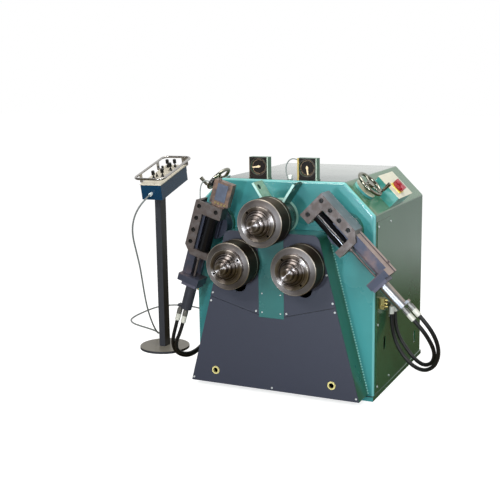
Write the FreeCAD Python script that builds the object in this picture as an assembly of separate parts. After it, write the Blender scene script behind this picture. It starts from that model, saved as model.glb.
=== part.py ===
import FreeCAD, Part
import math
import os

V = FreeCAD.Vector

# Ring roller: a floor-standing hydraulic machine that bends bars between three rolls.
# All lengths are millimetres. X is the machine's width, Z is up from the floor, and Y is
# measured here from the casing's front plate, positive to the rear. save() moves every
# piece so that the origin lies on the floor at the middle of the casing's base.

# Casing
CASING_W = 1000.0
CASING_H = 1105.0
CASING_D = 870.0
SHOULDER = 160.0
WALL = 8.0
EDGE_R = 16.0
BASE_T = 22.0
FOOT_W = 70.0
FOOT_OUT = 20.0

# Front housing
HOUSING_OUT = 140.0
HOUSING_FOOT = 470.0
HOUSING_TAPER = 0.262
HOUSING_Z0 = 30.0
HOUSING_Z1 = CASING_H - 250.0
HOUSING_T = 10.0
COVER_T = 4.0
STRIP_HALF = 70.0

# Rolls
ROLL_R = 120.0
ROLL_T = 125.0
ROLL_FRONT = 275.0
TOP_ROLL_Z = CASING_H - 185.0
ARM_PIVOT_Z = CASING_H - 473.0
ARM_R = 187.7
ARM_REST = 19.9
ARM_DOWN = 36.0
ARM_UP = 11.0
SHAFT_R = 35.0
TOP_SHAFT_R = 40.0
SEAT_R = 45.0
NUT_R = 88.0
TUBE_R = 72.0
PIVOT_PIN_R = 30.0

# The V-shaped seam between the dark plates, set down from the arm pivot
SEAM_MID_Z = ARM_PIVOT_Z - 207.0
SEAM_END_Z = SEAM_MID_Z + 75.0
SEAM_GAP = 3.5

# Inner frame plate, which carries the rear ends of the pins and the top shaft
INNER_FRONT = 210.0
INNER_REAR = INNER_FRONT + 25.0
ARM_REAR = INNER_FRONT - 20.0

# Lift cylinders
LIFT_R = 315.0
LIFT_REST = 12.5
LIFT_PER_RAD = 305.7
LIFT_PIN_R = 16.0
LIFT_Y = 70.0

# Side guides
GUIDE_X = CASING_W / 2.0 - 148.0
GUIDE_Z = CASING_H - 235.0
RIGHT_LEAN = 45.0
LEFT_LEAN = 17.0
RIGHT_SLIDE = -165.0
LEFT_SLIDE = -90.0
GUIDE_ROLL_R = 32.0
BAR_T0 = 24.0
BAR_T1 = 74.0
BAR_BACK = -98.0
BAR_FRONT = -150.0
SLAB_T1 = 78.0
SLAB_BACK = -74.0
HUB_R = 78.0
HOLDER_FRONT = -167.0
HOLDER_LIP_BACK = -58.0
HEAD_FRONT = -148.0
RAM_T = 3.0
RAM_Y = -145.0
RAM_R = 29.0
RAM_ROD_R = 6.0
PORT_T = (0.0, 36.0)
HOSE_R = 10.0
FERRULE_R = 13.5

# Hose fittings on the side panels
FITTING_Y = (190.0, 250.0)
FITTING_Z = GUIDE_Z - 400.0
FITTING_OUT = 30.0

# Handwheels
WHEEL_DROP = 54.0
WHEEL_Y = 135.0
WHEEL_RIM = 71.0
WHEEL_RIM_R = 9.0
WHEEL_OUT = 47.0
WHEEL_SEAT_R = 60.0
WORM_R = 18.0

# Dials
DIAL_W = 105.0
DIAL_H = 111.0
DIAL_D = 45.0
DIAL_Y = 22.0
DIAL_X = (-137.0, 131.0)

# Main switch, along and across the right shoulder
SWITCH_U = 96.0
SWITCH_Y = 348.0

# Pedestal
POST_X = -965.0
POST_Y = 412.0
POST_W = 40.0
POST_L = 60.0
DISC_R = 150.0
DISC_T = 14.0
DESK_W = 130.0
DESK_L = 358.0
DESK_H = 93.0
DESK_TILT = 13.08
DESK_YAW = 4.2
DESK_AT = V(-928.3, 264.4, 929.2)
CABLE_R = 5.0
CABLE_IN_Z = 110.0
CABLE_IN_Y = 720.0
WIRE_R = 3.0

# Named clearances
RUN = 0.05
SLIDE = 0.1
GAP = 1.0
FREE = 0.5

PARTS = "parts"


def box(x0, x1, y0, y1, z0, z1):
    return Part.makeBox(x1 - x0, y1 - y0, z1 - z0, V(x0, y0, z0))


def rod(p, q, r):
    d = q - p
    return Part.makeCylinder(r, d.Length, p, d)


def taper(p, q, r0, r1):
    d = q - p
    return Part.makeCone(r0, r1, d.Length, p, d)


def along_y(r, y0, y1, x=0.0, z=0.0):
    return rod(V(x, y0, z), V(x, y1, z), r)


def join(shapes):
    first = shapes[0]
    if len(shapes) > 1:
        first = first.multiFuse(shapes[1:])
    return first.removeSplitter()


def outline(points, radii, closed=True):
    """Straight runs through the points, each corner eased by a tangent arc."""
    n = len(points)
    edges = []
    last = None
    first = None
    for i in range(n):
        p = points[i]
        r = radii[i] if isinstance(radii, (list, tuple)) else radii
        if not closed and i in (0, n - 1):
            a = b = p
            arc = None
        elif r <= 0.0:
            a = b = p
            arc = None
        else:
            u = (points[i - 1] - p).normalize()
            w = (points[(i + 1) % n] - p).normalize()
            half = math.acos(max(-1.0, min(1.0, u.dot(w)))) / 2.0
            back = r / math.tan(half)
            a = p + u * back
            b = p + w * back
            mid = (u + w).normalize()
            arc = Part.Arc(a, p + mid * (r / math.sin(half) - r), b)
        if last is not None:
            edges.append(Part.LineSegment(last, a).toShape())
        else:
            first = a
        if arc is not None:
            edges.append(arc.toShape())
        last = b
    if closed:
        edges.append(Part.LineSegment(last, first).toShape())
    return Part.Wire(edges)


def plate(points, y0, y1, radii=0.0):
    """A flat outline given as (x, z) pairs, extruded from y0 to y1."""
    wire = outline([V(x, y0, z) for x, z in points], radii)
    return Part.Face(wire).extrude(V(0, y1 - y0, 0))


def flat_mirror(shape):
    return shape.mirror(V(0, 0, 0), V(1, 0, 0))


def save(name, shape):
    piece = shape.copy()
    piece.translate(V(0, -CASING_D / 2.0, 0))
    piece.exportStep(os.path.join(PARTS, name + ".step"))


def both_sides(stem, right, left=None):
    save("right_" + stem, right)
    save("left_" + stem, flat_mirror(right) if left is None else left)


def housing_half(z):
    return HOUSING_FOOT - HOUSING_TAPER * (z - HOUSING_Z0)


def casing_points(inset, z0):
    k = inset * (math.sqrt(2.0) - 1.0)
    half = CASING_W / 2.0
    low = CASING_H - SHOULDER
    right = [
        (half - inset, z0),
        (half - inset, low - k),
        (half - SHOULDER - k, CASING_H - inset),
    ]
    return right + [(-x, z) for x, z in reversed(right)]


def arm_slot(half_width, y0, y1, extra=0.0):
    """The curved slot that a right-hand swing arm sweeps about its pivot."""
    lo = math.radians(ARM_REST - ARM_DOWN - extra)
    hi = math.radians(ARM_REST + ARM_UP + extra)

    def at(r, a):
        return V(r * math.cos(a), y0, ARM_PIVOT_Z + r * math.sin(a))

    mid = (lo + hi) / 2.0
    ri = ARM_R - half_width
    ro = ARM_R + half_width
    end_hi = at(ARM_R, hi) + V(-math.sin(hi), 0, math.cos(hi)) * half_width
    end_lo = at(ARM_R, lo) - V(-math.sin(lo), 0, math.cos(lo)) * half_width
    wire = Part.Wire([
        Part.Arc(at(ro, lo), at(ro, mid), at(ro, hi)).toShape(),
        Part.Arc(at(ro, hi), end_hi, at(ri, hi)).toShape(),
        Part.Arc(at(ri, hi), at(ri, mid), at(ri, lo)).toShape(),
        Part.Arc(at(ri, lo), end_lo, at(ro, lo)).toShape(),
    ])
    return Part.Face(wire).extrude(V(0, y1 - y0, 0))


def roll_axis():
    a = math.radians(ARM_REST)
    return V(ARM_R * math.cos(a), 0, ARM_PIVOT_Z + ARM_R * math.sin(a))


def lift_pin():
    a = math.radians(LIFT_REST)
    return V(LIFT_R * math.cos(a), 0, ARM_PIVOT_Z + LIFT_R * math.sin(a))


def lift_swing():
    """Half of the lift pin's swing, which is level at its middle."""
    return math.radians((ARM_DOWN + ARM_UP) / 2.0)


def lift_x():
    return LIFT_R * (1.0 + math.cos(lift_swing())) / 2.0


# ---------------------------------------------------------------- casing


def base_frame():
    half = CASING_W / 2.0
    parts = [box(-half, half, 0, CASING_D, 0, BASE_T)]
    for s in (-1, 1):
        x0, x1 = sorted((s * (half - FOOT_W), s * (half + 3.0)))
        parts.append(box(x0, x1, -FOOT_OUT, CASING_D + FOOT_OUT, 0, BASE_T))
    return join(parts)


def casing_shell():
    body = plate(casing_points(0, BASE_T), 0, CASING_D)
    soft = []
    for e in body.Edges:
        m = e.BoundBox
        lengthwise = m.YLength > CASING_D - 1 and m.ZMin > BASE_T + 1
        front = m.YMax < 1 and m.ZMax > BASE_T + 1
        if lengthwise or front:
            soft.append(e)
    body = body.makeFillet(EDGE_R, soft)
    body = body.cut(plate(casing_points(WALL, 0), WALL, CASING_D - WALL))
    body = body.cut(plate(casing_points(35, BASE_T + 45), CASING_D - WALL - 1, CASING_D + 1))
    seat = []
    for s in (-1, 1):
        foot = shoulder_point(s)
        n = shoulder_normal(s)
        seat.append(rod(foot - n * 2, foot + n * 14, WHEEL_SEAT_R))
    body = join([body] + seat)
    cuts = [
        box(-window_half(), window_half(), -1, WALL + 1, window_low(), window_high()),
        along_y(80.0 + FREE, -1, WALL + 1, 0, TOP_ROLL_Z),
    ]
    for s in (-1, 1):
        cuts.append(along_y(60.0 + FREE, -1, WALL + 1, s * GUIDE_X, GUIDE_Z))
        foot = shoulder_point(s)
        n = shoulder_normal(s)
        cuts.append(rod(foot - n * 20, foot + n * 20, 12.0 + RUN))
        x0, x1 = sorted((s * (CASING_W / 2 - WALL - 1), s * (CASING_W / 2 + 1)))
        cuts.append(box(x0, x1, 62, 230, 90, CASING_H - 245))
        cuts.append(box(x0, x1, 733, 767, 107, 173))
    return body.cut(cuts)


def window_half():
    return ARM_R + TUBE_R + 4.5


def window_low():
    lo = math.radians(ARM_REST - ARM_DOWN)
    return ARM_PIVOT_Z + ARM_R * math.sin(lo) - TUBE_R - 8.0


def window_high():
    hi = math.radians(ARM_REST + ARM_UP)
    return ARM_PIVOT_Z + ARM_R * math.sin(hi) + TUBE_R + 8.0


def access_panels():
    out = []
    half = CASING_W / 2.0
    for s in (-1, 1):
        x0, x1 = sorted((s * half, s * (half + 3)))
        panel = box(x0, x1, 30, 262, 45, CASING_H - SHOULDER - 35)
        slot = box(x0 - 1, x1 + 1, 148, 182, 229, 293)
        out.append(panel.cut(slot))
    rear = plate(casing_points(50, 60), CASING_D, CASING_D + 3, 12)
    top = CASING_H - 213
    louvres = [box(-200, 200, CASING_D - 1, CASING_D + 4, top - 34 * k, top + 10 - 34 * k) for k in range(9)]
    # The rear panel overlaps the casing's rear flange all round.
    out.append(rear.cut(louvres))
    return Part.makeCompound(out)


def inner_frame_plate():
    y0, y1 = INNER_FRONT, INNER_REAR
    body = plate(casing_points(60, BASE_T), y0, y1)
    cuts = [
        along_y(80.0, y0 - 1, y1 + 1, 0, TOP_ROLL_Z),
        along_y(PIVOT_PIN_R + RUN, y0 - 1, y1 + 1, 0, ARM_PIVOT_Z),
        box(-CASING_W / 4, CASING_W / 4, y0 - 1, y1 + 1, BASE_T + 68, SEAM_MID_Z - 45),
    ]
    slot = arm_slot(TUBE_R + 6, y0 - 1, y1 + 1)
    cuts += [slot, flat_mirror(slot)]
    return body.cut(cuts)


# ---------------------------------------------------------------- front housing


def housing_block(inset, y0, y1):
    top = HOUSING_Z1 - inset
    low = HOUSING_Z0 + inset
    pts = [
        (housing_half(low) - inset, low),
        (housing_half(top) - inset, top),
        (-housing_half(top) + inset, top),
        (-housing_half(low) + inset, low),
    ]
    r = max(40.0 - inset, 5.0)
    body = plate(pts, y0, y1, [0.0, r, r, 0.0])
    return body.cut(along_y(97.0 + inset, y0 - 1, y1 + 1, 0, TOP_ROLL_Z))


def front_housing():
    face = -HOUSING_OUT + COVER_T
    body = housing_block(0, face, 0).cut(housing_block(HOUSING_T, face - 1, 1))
    seam = [
        (housing_half(SEAM_END_Z) - 4, SEAM_END_Z + 18),
        (STRIP_HALF, SEAM_MID_Z + 18),
        (-STRIP_HALF, SEAM_MID_Z + 18),
        (-housing_half(SEAM_END_Z) + 4, SEAM_END_Z + 18),
        (-housing_half(SEAM_END_Z) + 4, SEAM_END_Z - 18),
        (-STRIP_HALF, SEAM_MID_Z - 24),
        (STRIP_HALF, SEAM_MID_Z - 24),
        (housing_half(SEAM_END_Z) - 4, SEAM_END_Z - 18),
    ]
    rail = plate(seam, face, face + 6)
    strip = box(-STRIP_HALF + FREE, STRIP_HALF - FREE, -HOUSING_OUT, face + 6, SEAM_MID_Z - 10, HOUSING_Z1)
    strip = strip.cut(along_y(97.0, -HOUSING_OUT - 1, face + 7, 0, TOP_ROLL_Z))
    body = join([body, rail, strip])
    hole = along_y(68.0 + FREE, -HOUSING_OUT - 1, face + 7, 0, ARM_PIVOT_Z)
    cuts = [hole]
    for s in (-1, 1):
        cuts.append(rod(V(s * 380, -75, 193), V(s * 460, -75, 193), 7))
    return body.cut(cuts)


def slot_plate():
    """The right-hand dark plate, with the curved slot that its roll shaft moves in."""
    face = -HOUSING_OUT
    pts = [
        (STRIP_HALF, SEAM_MID_Z + SEAM_GAP),
        (housing_half(SEAM_END_Z), SEAM_END_Z + SEAM_GAP),
        (housing_half(HOUSING_Z1), HOUSING_Z1),
        (STRIP_HALF, HOUSING_Z1),
    ]
    body = plate(pts, face, face + COVER_T, [0.0, 0.0, 40.0, 0.0])
    body = body.cut(along_y(97.0, face - 1, face + COVER_T + 1, 0, TOP_ROLL_Z))
    return body.cut(arm_slot(SHAFT_R + 7, face - 1, face + COVER_T + 1))


def lower_front_cover():
    face = -HOUSING_OUT
    pts = [
        (housing_half(HOUSING_Z0), HOUSING_Z0),
        (housing_half(SEAM_END_Z), SEAM_END_Z),
        (STRIP_HALF, SEAM_MID_Z),
        (STRIP_HALF, SEAM_MID_Z - 10 - GAP),
        (-STRIP_HALF, SEAM_MID_Z - 10 - GAP),
        (-STRIP_HALF, SEAM_MID_Z),
        (-housing_half(SEAM_END_Z), SEAM_END_Z),
        (-housing_half(HOUSING_Z0), HOUSING_Z0),
    ]
    body = plate(pts, face, face + COVER_T)
    for s in (-1, 1):
        body = body.cut(along_y(14, face - 1, face + COVER_T + 1, s * 325, 100))
        ring = along_y(20, face - 4, face + COVER_T + 6, s * 325, 100)
        ring = ring.cut(along_y(14, face - 5, face + COVER_T + 7, s * 325, 100))
        body = join([body, ring])
    return body


def cover_screws():
    face = -HOUSING_OUT
    spots = [(0, 45), (300, ARM_PIVOT_Z + 30)]
    for s in (-1, 1):
        for z in (SEAM_END_Z - 22, SEAM_END_Z + 22):
            spots.append((s * (housing_half(z) - 10), z))
        spots.append((s * (STRIP_HALF + 14), SEAM_MID_Z + 21))
        spots.append((s * (housing_half(48) - 10), 48))
    heads = [along_y(5.0, face - 3.5, face, x, z) for x, z in spots]
    for x in (-51, 51):
        for z in (ARM_PIVOT_Z - 92, SEAM_MID_Z + 17):
            heads.append(along_y(3.5, face - 2, face, x, z))
    for s in (-1, 1):
        for z in (60, 385, CASING_H - SHOULDER - 60):
            for y in (46, 246):
                p = V(s * (CASING_W / 2 + 3), y, z)
                heads.append(rod(p, p + V(s * 3, 0, 0), 5.5))
    return Part.makeCompound(heads)


def pivot_pin():
    face = -HOUSING_OUT
    body = join([
        along_y(PIVOT_PIN_R, face + COVER_T, INNER_REAR, 0, ARM_PIVOT_Z),
        along_y(68.0, face - 0.8, face + COVER_T + 6, 0, ARM_PIVOT_Z),
    ])
    return body


def top_bearing_boss():
    reach = -HOUSING_OUT + 2
    body = join([
        along_y(85, reach, 0, 0, TOP_ROLL_Z),
        taper(V(0, -12, TOP_ROLL_Z), V(0, 0, TOP_ROLL_Z), 85, 94),
        along_y(80, -1, INNER_REAR, 0, TOP_ROLL_Z),
    ])
    ribs = []
    for s in (-1, 1):
        top = V(s * 112, 0, CASING_H - 8)
        low = V(s * 36, 0, TOP_ROLL_Z + 60)
        u = (top - low).normalize()
        w = V(-u.z, 0, u.x) * 6.0
        face = outline([low + w, low - w, top - w, top + w], 0.0)
        rib = Part.Face(face).extrude(V(0, -105, 0))
        eye = low + u * ((top - low).Length - 30) + V(0, -72, 0)
        side = V(-u.z, 0, u.x)
        rib = rib.cut(rod(eye - side * 20, eye + side * 20, 14))
        ribs.append(rib)
    body = join([body] + ribs)
    body = body.cut([
        along_y(TOP_SHAFT_R + RUN, reach - 1, reach + 40, 0, TOP_ROLL_Z),
        along_y(TOP_SHAFT_R + 12, reach + 39, INNER_REAR - 40, 0, TOP_ROLL_Z),
        along_y(TOP_SHAFT_R + RUN, INNER_REAR - 41, INNER_REAR + 1, 0, TOP_ROLL_Z),
    ])
    return body


# ---------------------------------------------------------------- rolls and shafts


def shaft(journal_r, rear, at):
    """Journal, larger roll seat, and the stepped nose that stands out of the nut."""
    face = -ROLL_FRONT
    back = face + ROLL_T
    return join([
        along_y(journal_r, back, rear, at.x, at.z),
        along_y(SEAT_R, face - 55, back, at.x, at.z),
        taper(V(at.x, face - 58, at.z), V(at.x, face - 55, at.z), SEAT_R - 3, SEAT_R),
        taper(V(at.x, face - 80, at.z), V(at.x, face - 77, at.z), 27, 30),
        along_y(30, face - 77, face - 58, at.x, at.z),
    ])


def roll(at):
    face = -ROLL_FRONT
    back = face + ROLL_T
    body = join([
        taper(V(at.x, face, at.z), V(at.x, face + 3, at.z), ROLL_R - 3, ROLL_R),
        along_y(ROLL_R, face + 3, back, at.x, at.z),
    ])
    groove = along_y(ROLL_R + 1, back - 28, back - 25, at.x, at.z)
    groove = groove.cut(along_y(ROLL_R - 3, back - 29, back - 24, at.x, at.z))
    return body.cut([groove, along_y(SEAT_R + RUN, face - 1, back + 1, at.x, at.z)])


def roll_nut(at, turn):
    face = -ROLL_FRONT
    body = join([
        taper(V(at.x, face - 20, at.z), V(at.x, face - 18, at.z), NUT_R - 2, NUT_R),
        along_y(NUT_R, face - 18, face, at.x, at.z),
        taper(V(at.x, face - 40, at.z), V(at.x, face - 26, at.z), 50, 58),
        taper(V(at.x, face - 26, at.z), V(at.x, face - 18, at.z), 62, 68),
    ])
    cuts = [along_y(SEAT_R + RUN, face - 41, face + 1, at.x, at.z)]
    for k in (0, 180):
        a = math.radians(turn + k)
        x = at.x + (NUT_R - 11) * math.cos(a)
        z = at.z + (NUT_R - 11) * math.sin(a)
        cuts.append(along_y(6, face - 21, face - 8, x, z))
    return body.cut(cuts)


def swing_arm(front_web):
    """The right-hand arm: hub on the pivot pin, bearing tube, motor and lift pin."""
    at = roll_axis()
    pin = lift_pin()
    pivot = V(0, 0, ARM_PIVOT_Z)
    y0, y1 = (-120.0, -20.0) if front_web else (-15.0, 85.0)
    u = (at - pivot).normalize()
    side = V(-u.z, 0, u.x)
    base = pivot + V(0, y0, 0)
    tip = at + V(0, y0, 0)
    web = Part.Face(outline([
        base + side * 48, base - side * 48, tip - side * 60, tip + side * 60,
    ], 0.0)).extrude(V(0, y1 - y0, 0))
    lug_u = (pin - at).normalize()
    lug_s = V(-lug_u.z, 0, lug_u.x)
    lug_y = V(0, 14, 0)
    lug = Part.Face(outline([
        at + lug_s * 62 + lug_y,
        at - lug_s * 62 + lug_y,
        pin - lug_s * 26 + lug_y,
        pin + lug_s * 26 + lug_y,
    ], 0.0)).extrude(V(0, 26, 0))
    motor = [
        along_y(TUBE_R, ARM_REAR, ARM_REAR + 14, at.x, at.z),
        along_y(58, ARM_REAR + 14, ARM_REAR + 140, at.x, at.z),
        along_y(40, ARM_REAR + 140, ARM_REAR + 182, at.x, at.z),
        box(at.x - 22, at.x + 22, ARM_REAR + 152, ARM_REAR + 174, at.z + 36, at.z + 56),
    ]
    body = join([
        along_y(60, y0, y1, 0, ARM_PIVOT_Z),
        web,
        along_y(TUBE_R, -HOUSING_OUT + 15, ARM_REAR, at.x, at.z),
        lug,
        along_y(26, 14, 40, pin.x, pin.z),
        along_y(LIFT_PIN_R, 40, LIFT_Y + 26, pin.x, pin.z),
    ] + motor)
    return body.cut([
        along_y(PIVOT_PIN_R + RUN, y0 - 1, y1 + 1, 0, ARM_PIVOT_Z),
        along_y(SHAFT_R + RUN, -HOUSING_OUT + 14, -90, at.x, at.z),
        along_y(SHAFT_R + 10, -91, ARM_REAR - 40, at.x, at.z),
        along_y(SHAFT_R + RUN, ARM_REAR - 41, ARM_REAR + 0.5, at.x, at.z),
    ])


def top_roll_motor():
    y0 = INNER_REAR
    return join([
        along_y(TUBE_R + 20, y0, y0 + 16, 0, TOP_ROLL_Z),
        along_y(TUBE_R, y0 + 16, y0 + 150, 0, TOP_ROLL_Z),
        along_y(48, y0 + 150, y0 + 200, 0, TOP_ROLL_Z),
        box(-25, 25, y0 + 162, y0 + 186, TOP_ROLL_Z + 44, TOP_ROLL_Z + 66),
    ])


# ---------------------------------------------------------------- lift


def lift_travel():
    return LIFT_PER_RAD * lift_swing()


def lift_rest_z():
    return ARM_PIVOT_Z + LIFT_PER_RAD * math.radians(LIFT_REST)


def lift_cylinder():
    x = lift_x()
    top = ARM_PIVOT_Z - lift_travel() - 51.0
    body = join([
        box(x - 55, x + 55, LIFT_Y - 55, LIFT_Y + 55, BASE_T, BASE_T + 30),
        rod(V(x, LIFT_Y, BASE_T), V(x, LIFT_Y, top), 45),
        rod(V(x, LIFT_Y, top - 40), V(x, LIFT_Y, top), 50),
        box(x - 60, x - 40, LIFT_Y - 12, LIFT_Y + 12, top - 36, top - 12),
        box(x - 60, x - 40, LIFT_Y - 12, LIFT_Y + 12, BASE_T + 52, BASE_T + 76),
    ])
    return body.cut([
        rod(V(x, LIFT_Y, BASE_T + 45), V(x, LIFT_Y, top - 25), 38),
        rod(V(x, LIFT_Y, top - 26), V(x, LIFT_Y, top + 1), 20 + RUN),
    ])


def lift_rod():
    x = lift_x()
    z = lift_rest_z()
    reach = LIFT_R * (1.0 - math.cos(lift_swing())) / 2.0 + LIFT_PIN_R + 1.5
    tall = LIFT_PIN_R + 2.4
    head = box(x - reach - 7, x + reach + 7, LIFT_Y - 22, LIFT_Y + 22, z - tall - 15, z + tall + 15)
    eye = box(x - reach, x + reach, LIFT_Y - 23, LIFT_Y + 23, z - tall, z + tall)
    low = BASE_T + 60.0 + (lift_rest_z() - ARM_PIVOT_Z) + lift_travel()
    body = join([
        head.cut(eye),
        rod(V(x, LIFT_Y, low), V(x, LIFT_Y, z - tall - 14), 20),
        rod(V(x, LIFT_Y, low), V(x, LIFT_Y, low + 30), 38 - RUN),
    ])
    return body


# ---------------------------------------------------------------- side guides


def guide_box(s0, s1, t0, t1, y0, y1):
    """A block in a guide's own directions: s down along the arm, t outward across it."""
    return box(t0, t1, y0, y1, -s1, -s0)


def guide_rod(s0, s1, t, y, r):
    return rod(V(t, y, -s0), V(t, y, -s1), r)


def place_guide(shape, side):
    lean = RIGHT_LEAN if side > 0 else LEFT_LEAN
    out = shape.copy()
    out.rotate(V(0, 0, 0), V(0, 1, 0), -lean)
    out.translate(V(GUIDE_X, 0, GUIDE_Z))
    return out if side > 0 else flat_mirror(out)


def guide_point(side, s, t, y):
    a = math.radians(RIGHT_LEAN if side > 0 else LEFT_LEAN)
    x = GUIDE_X + s * math.sin(a) + t * math.cos(a)
    return V(side * x, y, GUIDE_Z - s * math.cos(a) + t * math.sin(a))


def guide_arm():
    """Boss, shaft and worm wheel on the pivot; slab, slide bar and flange on the front."""
    slab = [
        guide_box(-100, 60, -45, SLAB_T1, BAR_BACK, SLAB_BACK),
        guide_box(59, 318, -6, SLAB_T1, BAR_BACK, SLAB_BACK),
    ]
    bar = guide_box(-50, 281, BAR_T0, BAR_T1, BAR_FRONT, BAR_BACK + 1)
    flange = guide_box(280, 318, -46, 74, -190, BAR_BACK + 8)
    nipple = rod(V(SLAB_T1 - 1, SLAB_BACK - 12, -262), V(SLAB_T1 + 9, SLAB_BACK - 12, -262), 5)
    body = join([
        along_y(HUB_R, SLAB_BACK - 1, -16, 0, 0),
        along_y(SHAFT_R, -17, WHEEL_Y + 30, 0, 0),
        along_y(worm_wheel_r(), WHEEL_Y - 18, WHEEL_Y + 18, 0, 0),
        bar,
        flange,
        nipple,
    ] + slab)
    return body.cut(guide_rod(279, 319, RAM_T, RAM_Y, 16))


def guide_cylinder():
    body = join([
        guide_box(318, 334, RAM_T - 43, RAM_T + 43, RAM_Y - 43, RAM_Y + 43),
        guide_rod(333, 470, RAM_T, RAM_Y, RAM_R),
        guide_rod(306, 319, RAM_T, RAM_Y, 15.5),
    ])
    ports = []
    for t in PORT_T:
        ports.append(guide_rod(468, 486, t, RAM_Y, 10))
        ports.append(guide_rod(484, 512, t, RAM_Y, FERRULE_R + 0.5))
        ports.append(guide_rod(512, 550, t, RAM_Y, FERRULE_R))
    ports.append(guide_box(458, 472, RAM_T, max(PORT_T) + 13, RAM_Y - 14, RAM_Y + 14))
    body = join([body] + ports)
    cuts = [
        guide_rod(330, 462, RAM_T, RAM_Y, 22),
        guide_rod(300, 331, RAM_T, RAM_Y, RAM_ROD_R + RUN),
    ]
    cuts += [guide_rod(512, 551, t, RAM_Y, HOSE_R + RUN) for t in PORT_T]
    return body.cut(cuts)


def holder_sockets(s0):
    for s in (0.0, 64.5, 129.0, 193.5):
        yield guide_socket(s0 + s, 64.0)
    yield guide_socket(s0, -35.0)


def guide_socket(s, t):
    return join([
        rod(V(t, HOLDER_FRONT - 1, -s), V(t, HOLDER_FRONT + 12, -s), 12),
        rod(V(t, HOLDER_FRONT + 1, -s), V(t, BAR_BACK + 1, -s), 0.01 + 4.0),
    ])


def guide_holder(s0):
    """The frame that carries the guide roll and slides along the bar."""
    back = BAR_BACK - FREE
    plate_side = join([
        guide_box(s0 - 27, s0 + 261, 37, 90, HOLDER_FRONT, BAR_FRONT - SLIDE),
        guide_box(s0 - 27, s0 + 261, BAR_T1 + SLIDE, 90, HOLDER_FRONT, back),
        guide_box(s0 - 27, s0 + 261, SLAB_T1 + GAP, 90, back - 1, HOLDER_LIP_BACK),
    ])
    upper = guide_box(s0 - 27, s0 + 35, -67, 90, HOLDER_FRONT, back)
    lower = guide_box(s0 + 225, s0 + 261, -62, 90, HOLDER_FRONT, back)
    body = join([plate_side, upper, lower])
    wedge = outline([
        V(91, HOLDER_FRONT - 1, -(s0 + 216)),
        V(91, HOLDER_FRONT - 1, -(s0 + 262)),
        V(49, HOLDER_FRONT - 1, -(s0 + 262)),
    ], 0.0)
    cuts = [
        guide_box(s0 - 28, s0 + 262, BAR_T0 - SLIDE, BAR_T1 + SLIDE, BAR_FRONT - SLIDE, back + 1),
        Part.Face(wedge).extrude(V(0, HOLDER_LIP_BACK - HOLDER_FRONT + 2, 0)),
        guide_rod(s0 + 18, s0 + 36, -10, -131, 12 + RUN),
        guide_rod(s0 + 224, s0 + 243, -10, -131, 12 + RUN),
    ]
    cuts += list(holder_sockets(s0))
    body = body.cut(cuts)
    piston = 340.0 + (s0 - RIGHT_SLIDE)
    ram = join([
        guide_rod(s0 + 255, piston + 11, RAM_T, RAM_Y, RAM_ROD_R),
        guide_rod(s0 + 261, s0 + 275, RAM_T, RAM_Y, 12),
        guide_rod(piston, piston + 12, RAM_T, RAM_Y, 22 - RUN),
    ])
    return join([body, ram])


def guide_roll(s0):
    body = join([
        guide_rod(s0 + 36, s0 + 224, -10, -131, GUIDE_ROLL_R),
        guide_rod(s0 + 18.5, s0 + 241.5, -10, -131, 12),
    ])
    return body


def head_top(s0):
    return s0 - 35.0


def guide_head(s0):
    """Traverse unit on the left holder, behind the main rolls: a glossy block with a hand knob."""
    top = head_top(s0)
    back = HEAD_FRONT + 40
    body = join([
        guide_box(top - 124, top, -82, 25, HEAD_FRONT + 2, back),
        guide_box(top - 1, s0 - 27, -62, 10, HEAD_FRONT + 6, back),
    ])
    face = guide_box(top - 112, top - 22, -60, 0, HEAD_FRONT, HEAD_FRONT + 3)
    y = HEAD_FRONT + 22
    s = top - 96
    knob = rod(V(24, y, -s), V(37, y, -s), 8)
    grip = rod(V(36, y, -s), V(50, y, -s), 20)
    boss = rod(V(49, y, -s), V(58, y, -s), 7)
    screws = []
    for t in (-64, -46, -28, -10):
        screws.append(rod(V(t, HEAD_FRONT - 1, 9 - top), V(t, HEAD_FRONT + 3, 9 - top), 6))
    gland = guide_rod(top - 131, top - 123, 2, y, 7)
    unit = join([body, face, knob, grip, boss, gland] + screws)
    return unit.cut(rod(V(51, y, -s), V(59, y, -s), WIRE_R + RUN))


def head_cable(s0):
    """The thin lead from the head's knob down into the top of the holder."""
    y = HEAD_FRONT + 22
    s = head_top(s0) - 96
    spots = [(s, 52), (s, 72), (s + 6, 90), (s + 23, 100), (s + 43, 102), (s + 63, 99), (s + 83, 94)]
    points = [guide_point(-1, a, b, y) for a, b in spots + [(s0 - 27.5, 88)]]
    return cord("left_guide_cable", points, WIRE_R, limp=True)


def guide_sleeve():
    """The right-hand bearing sleeve in the casing's front plate."""
    body = join([
        taper(V(GUIDE_X, -13, GUIDE_Z), V(GUIDE_X, 0, GUIDE_Z), 84, 89),
        along_y(60, -1, 96, GUIDE_X, GUIDE_Z),
    ])
    return body.cut(along_y(SHAFT_R + RUN, -14, 97, GUIDE_X, GUIDE_Z))


# ---------------------------------------------------------------- handwheels


def shoulder_normal(side):
    return V(side, 0, 1).normalize()


def shoulder_point(side):
    x = CASING_W / 2 - SHOULDER + WHEEL_DROP
    return V(side * x, WHEEL_Y, CASING_H - WHEEL_DROP)


def worm_depth():
    """Depth below the shoulder, along the wheel's axis, of the point nearest the guide pivot."""
    d = shoulder_point(1) - V(GUIDE_X, WHEEL_Y, GUIDE_Z)
    return d.dot(shoulder_normal(1))


def worm_wheel_r():
    d = shoulder_point(1) - V(GUIDE_X, WHEEL_Y, GUIDE_Z)
    across = math.sqrt(max(d.Length ** 2 - worm_depth() ** 2, 1.0))
    return across - WORM_R - GAP


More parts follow.
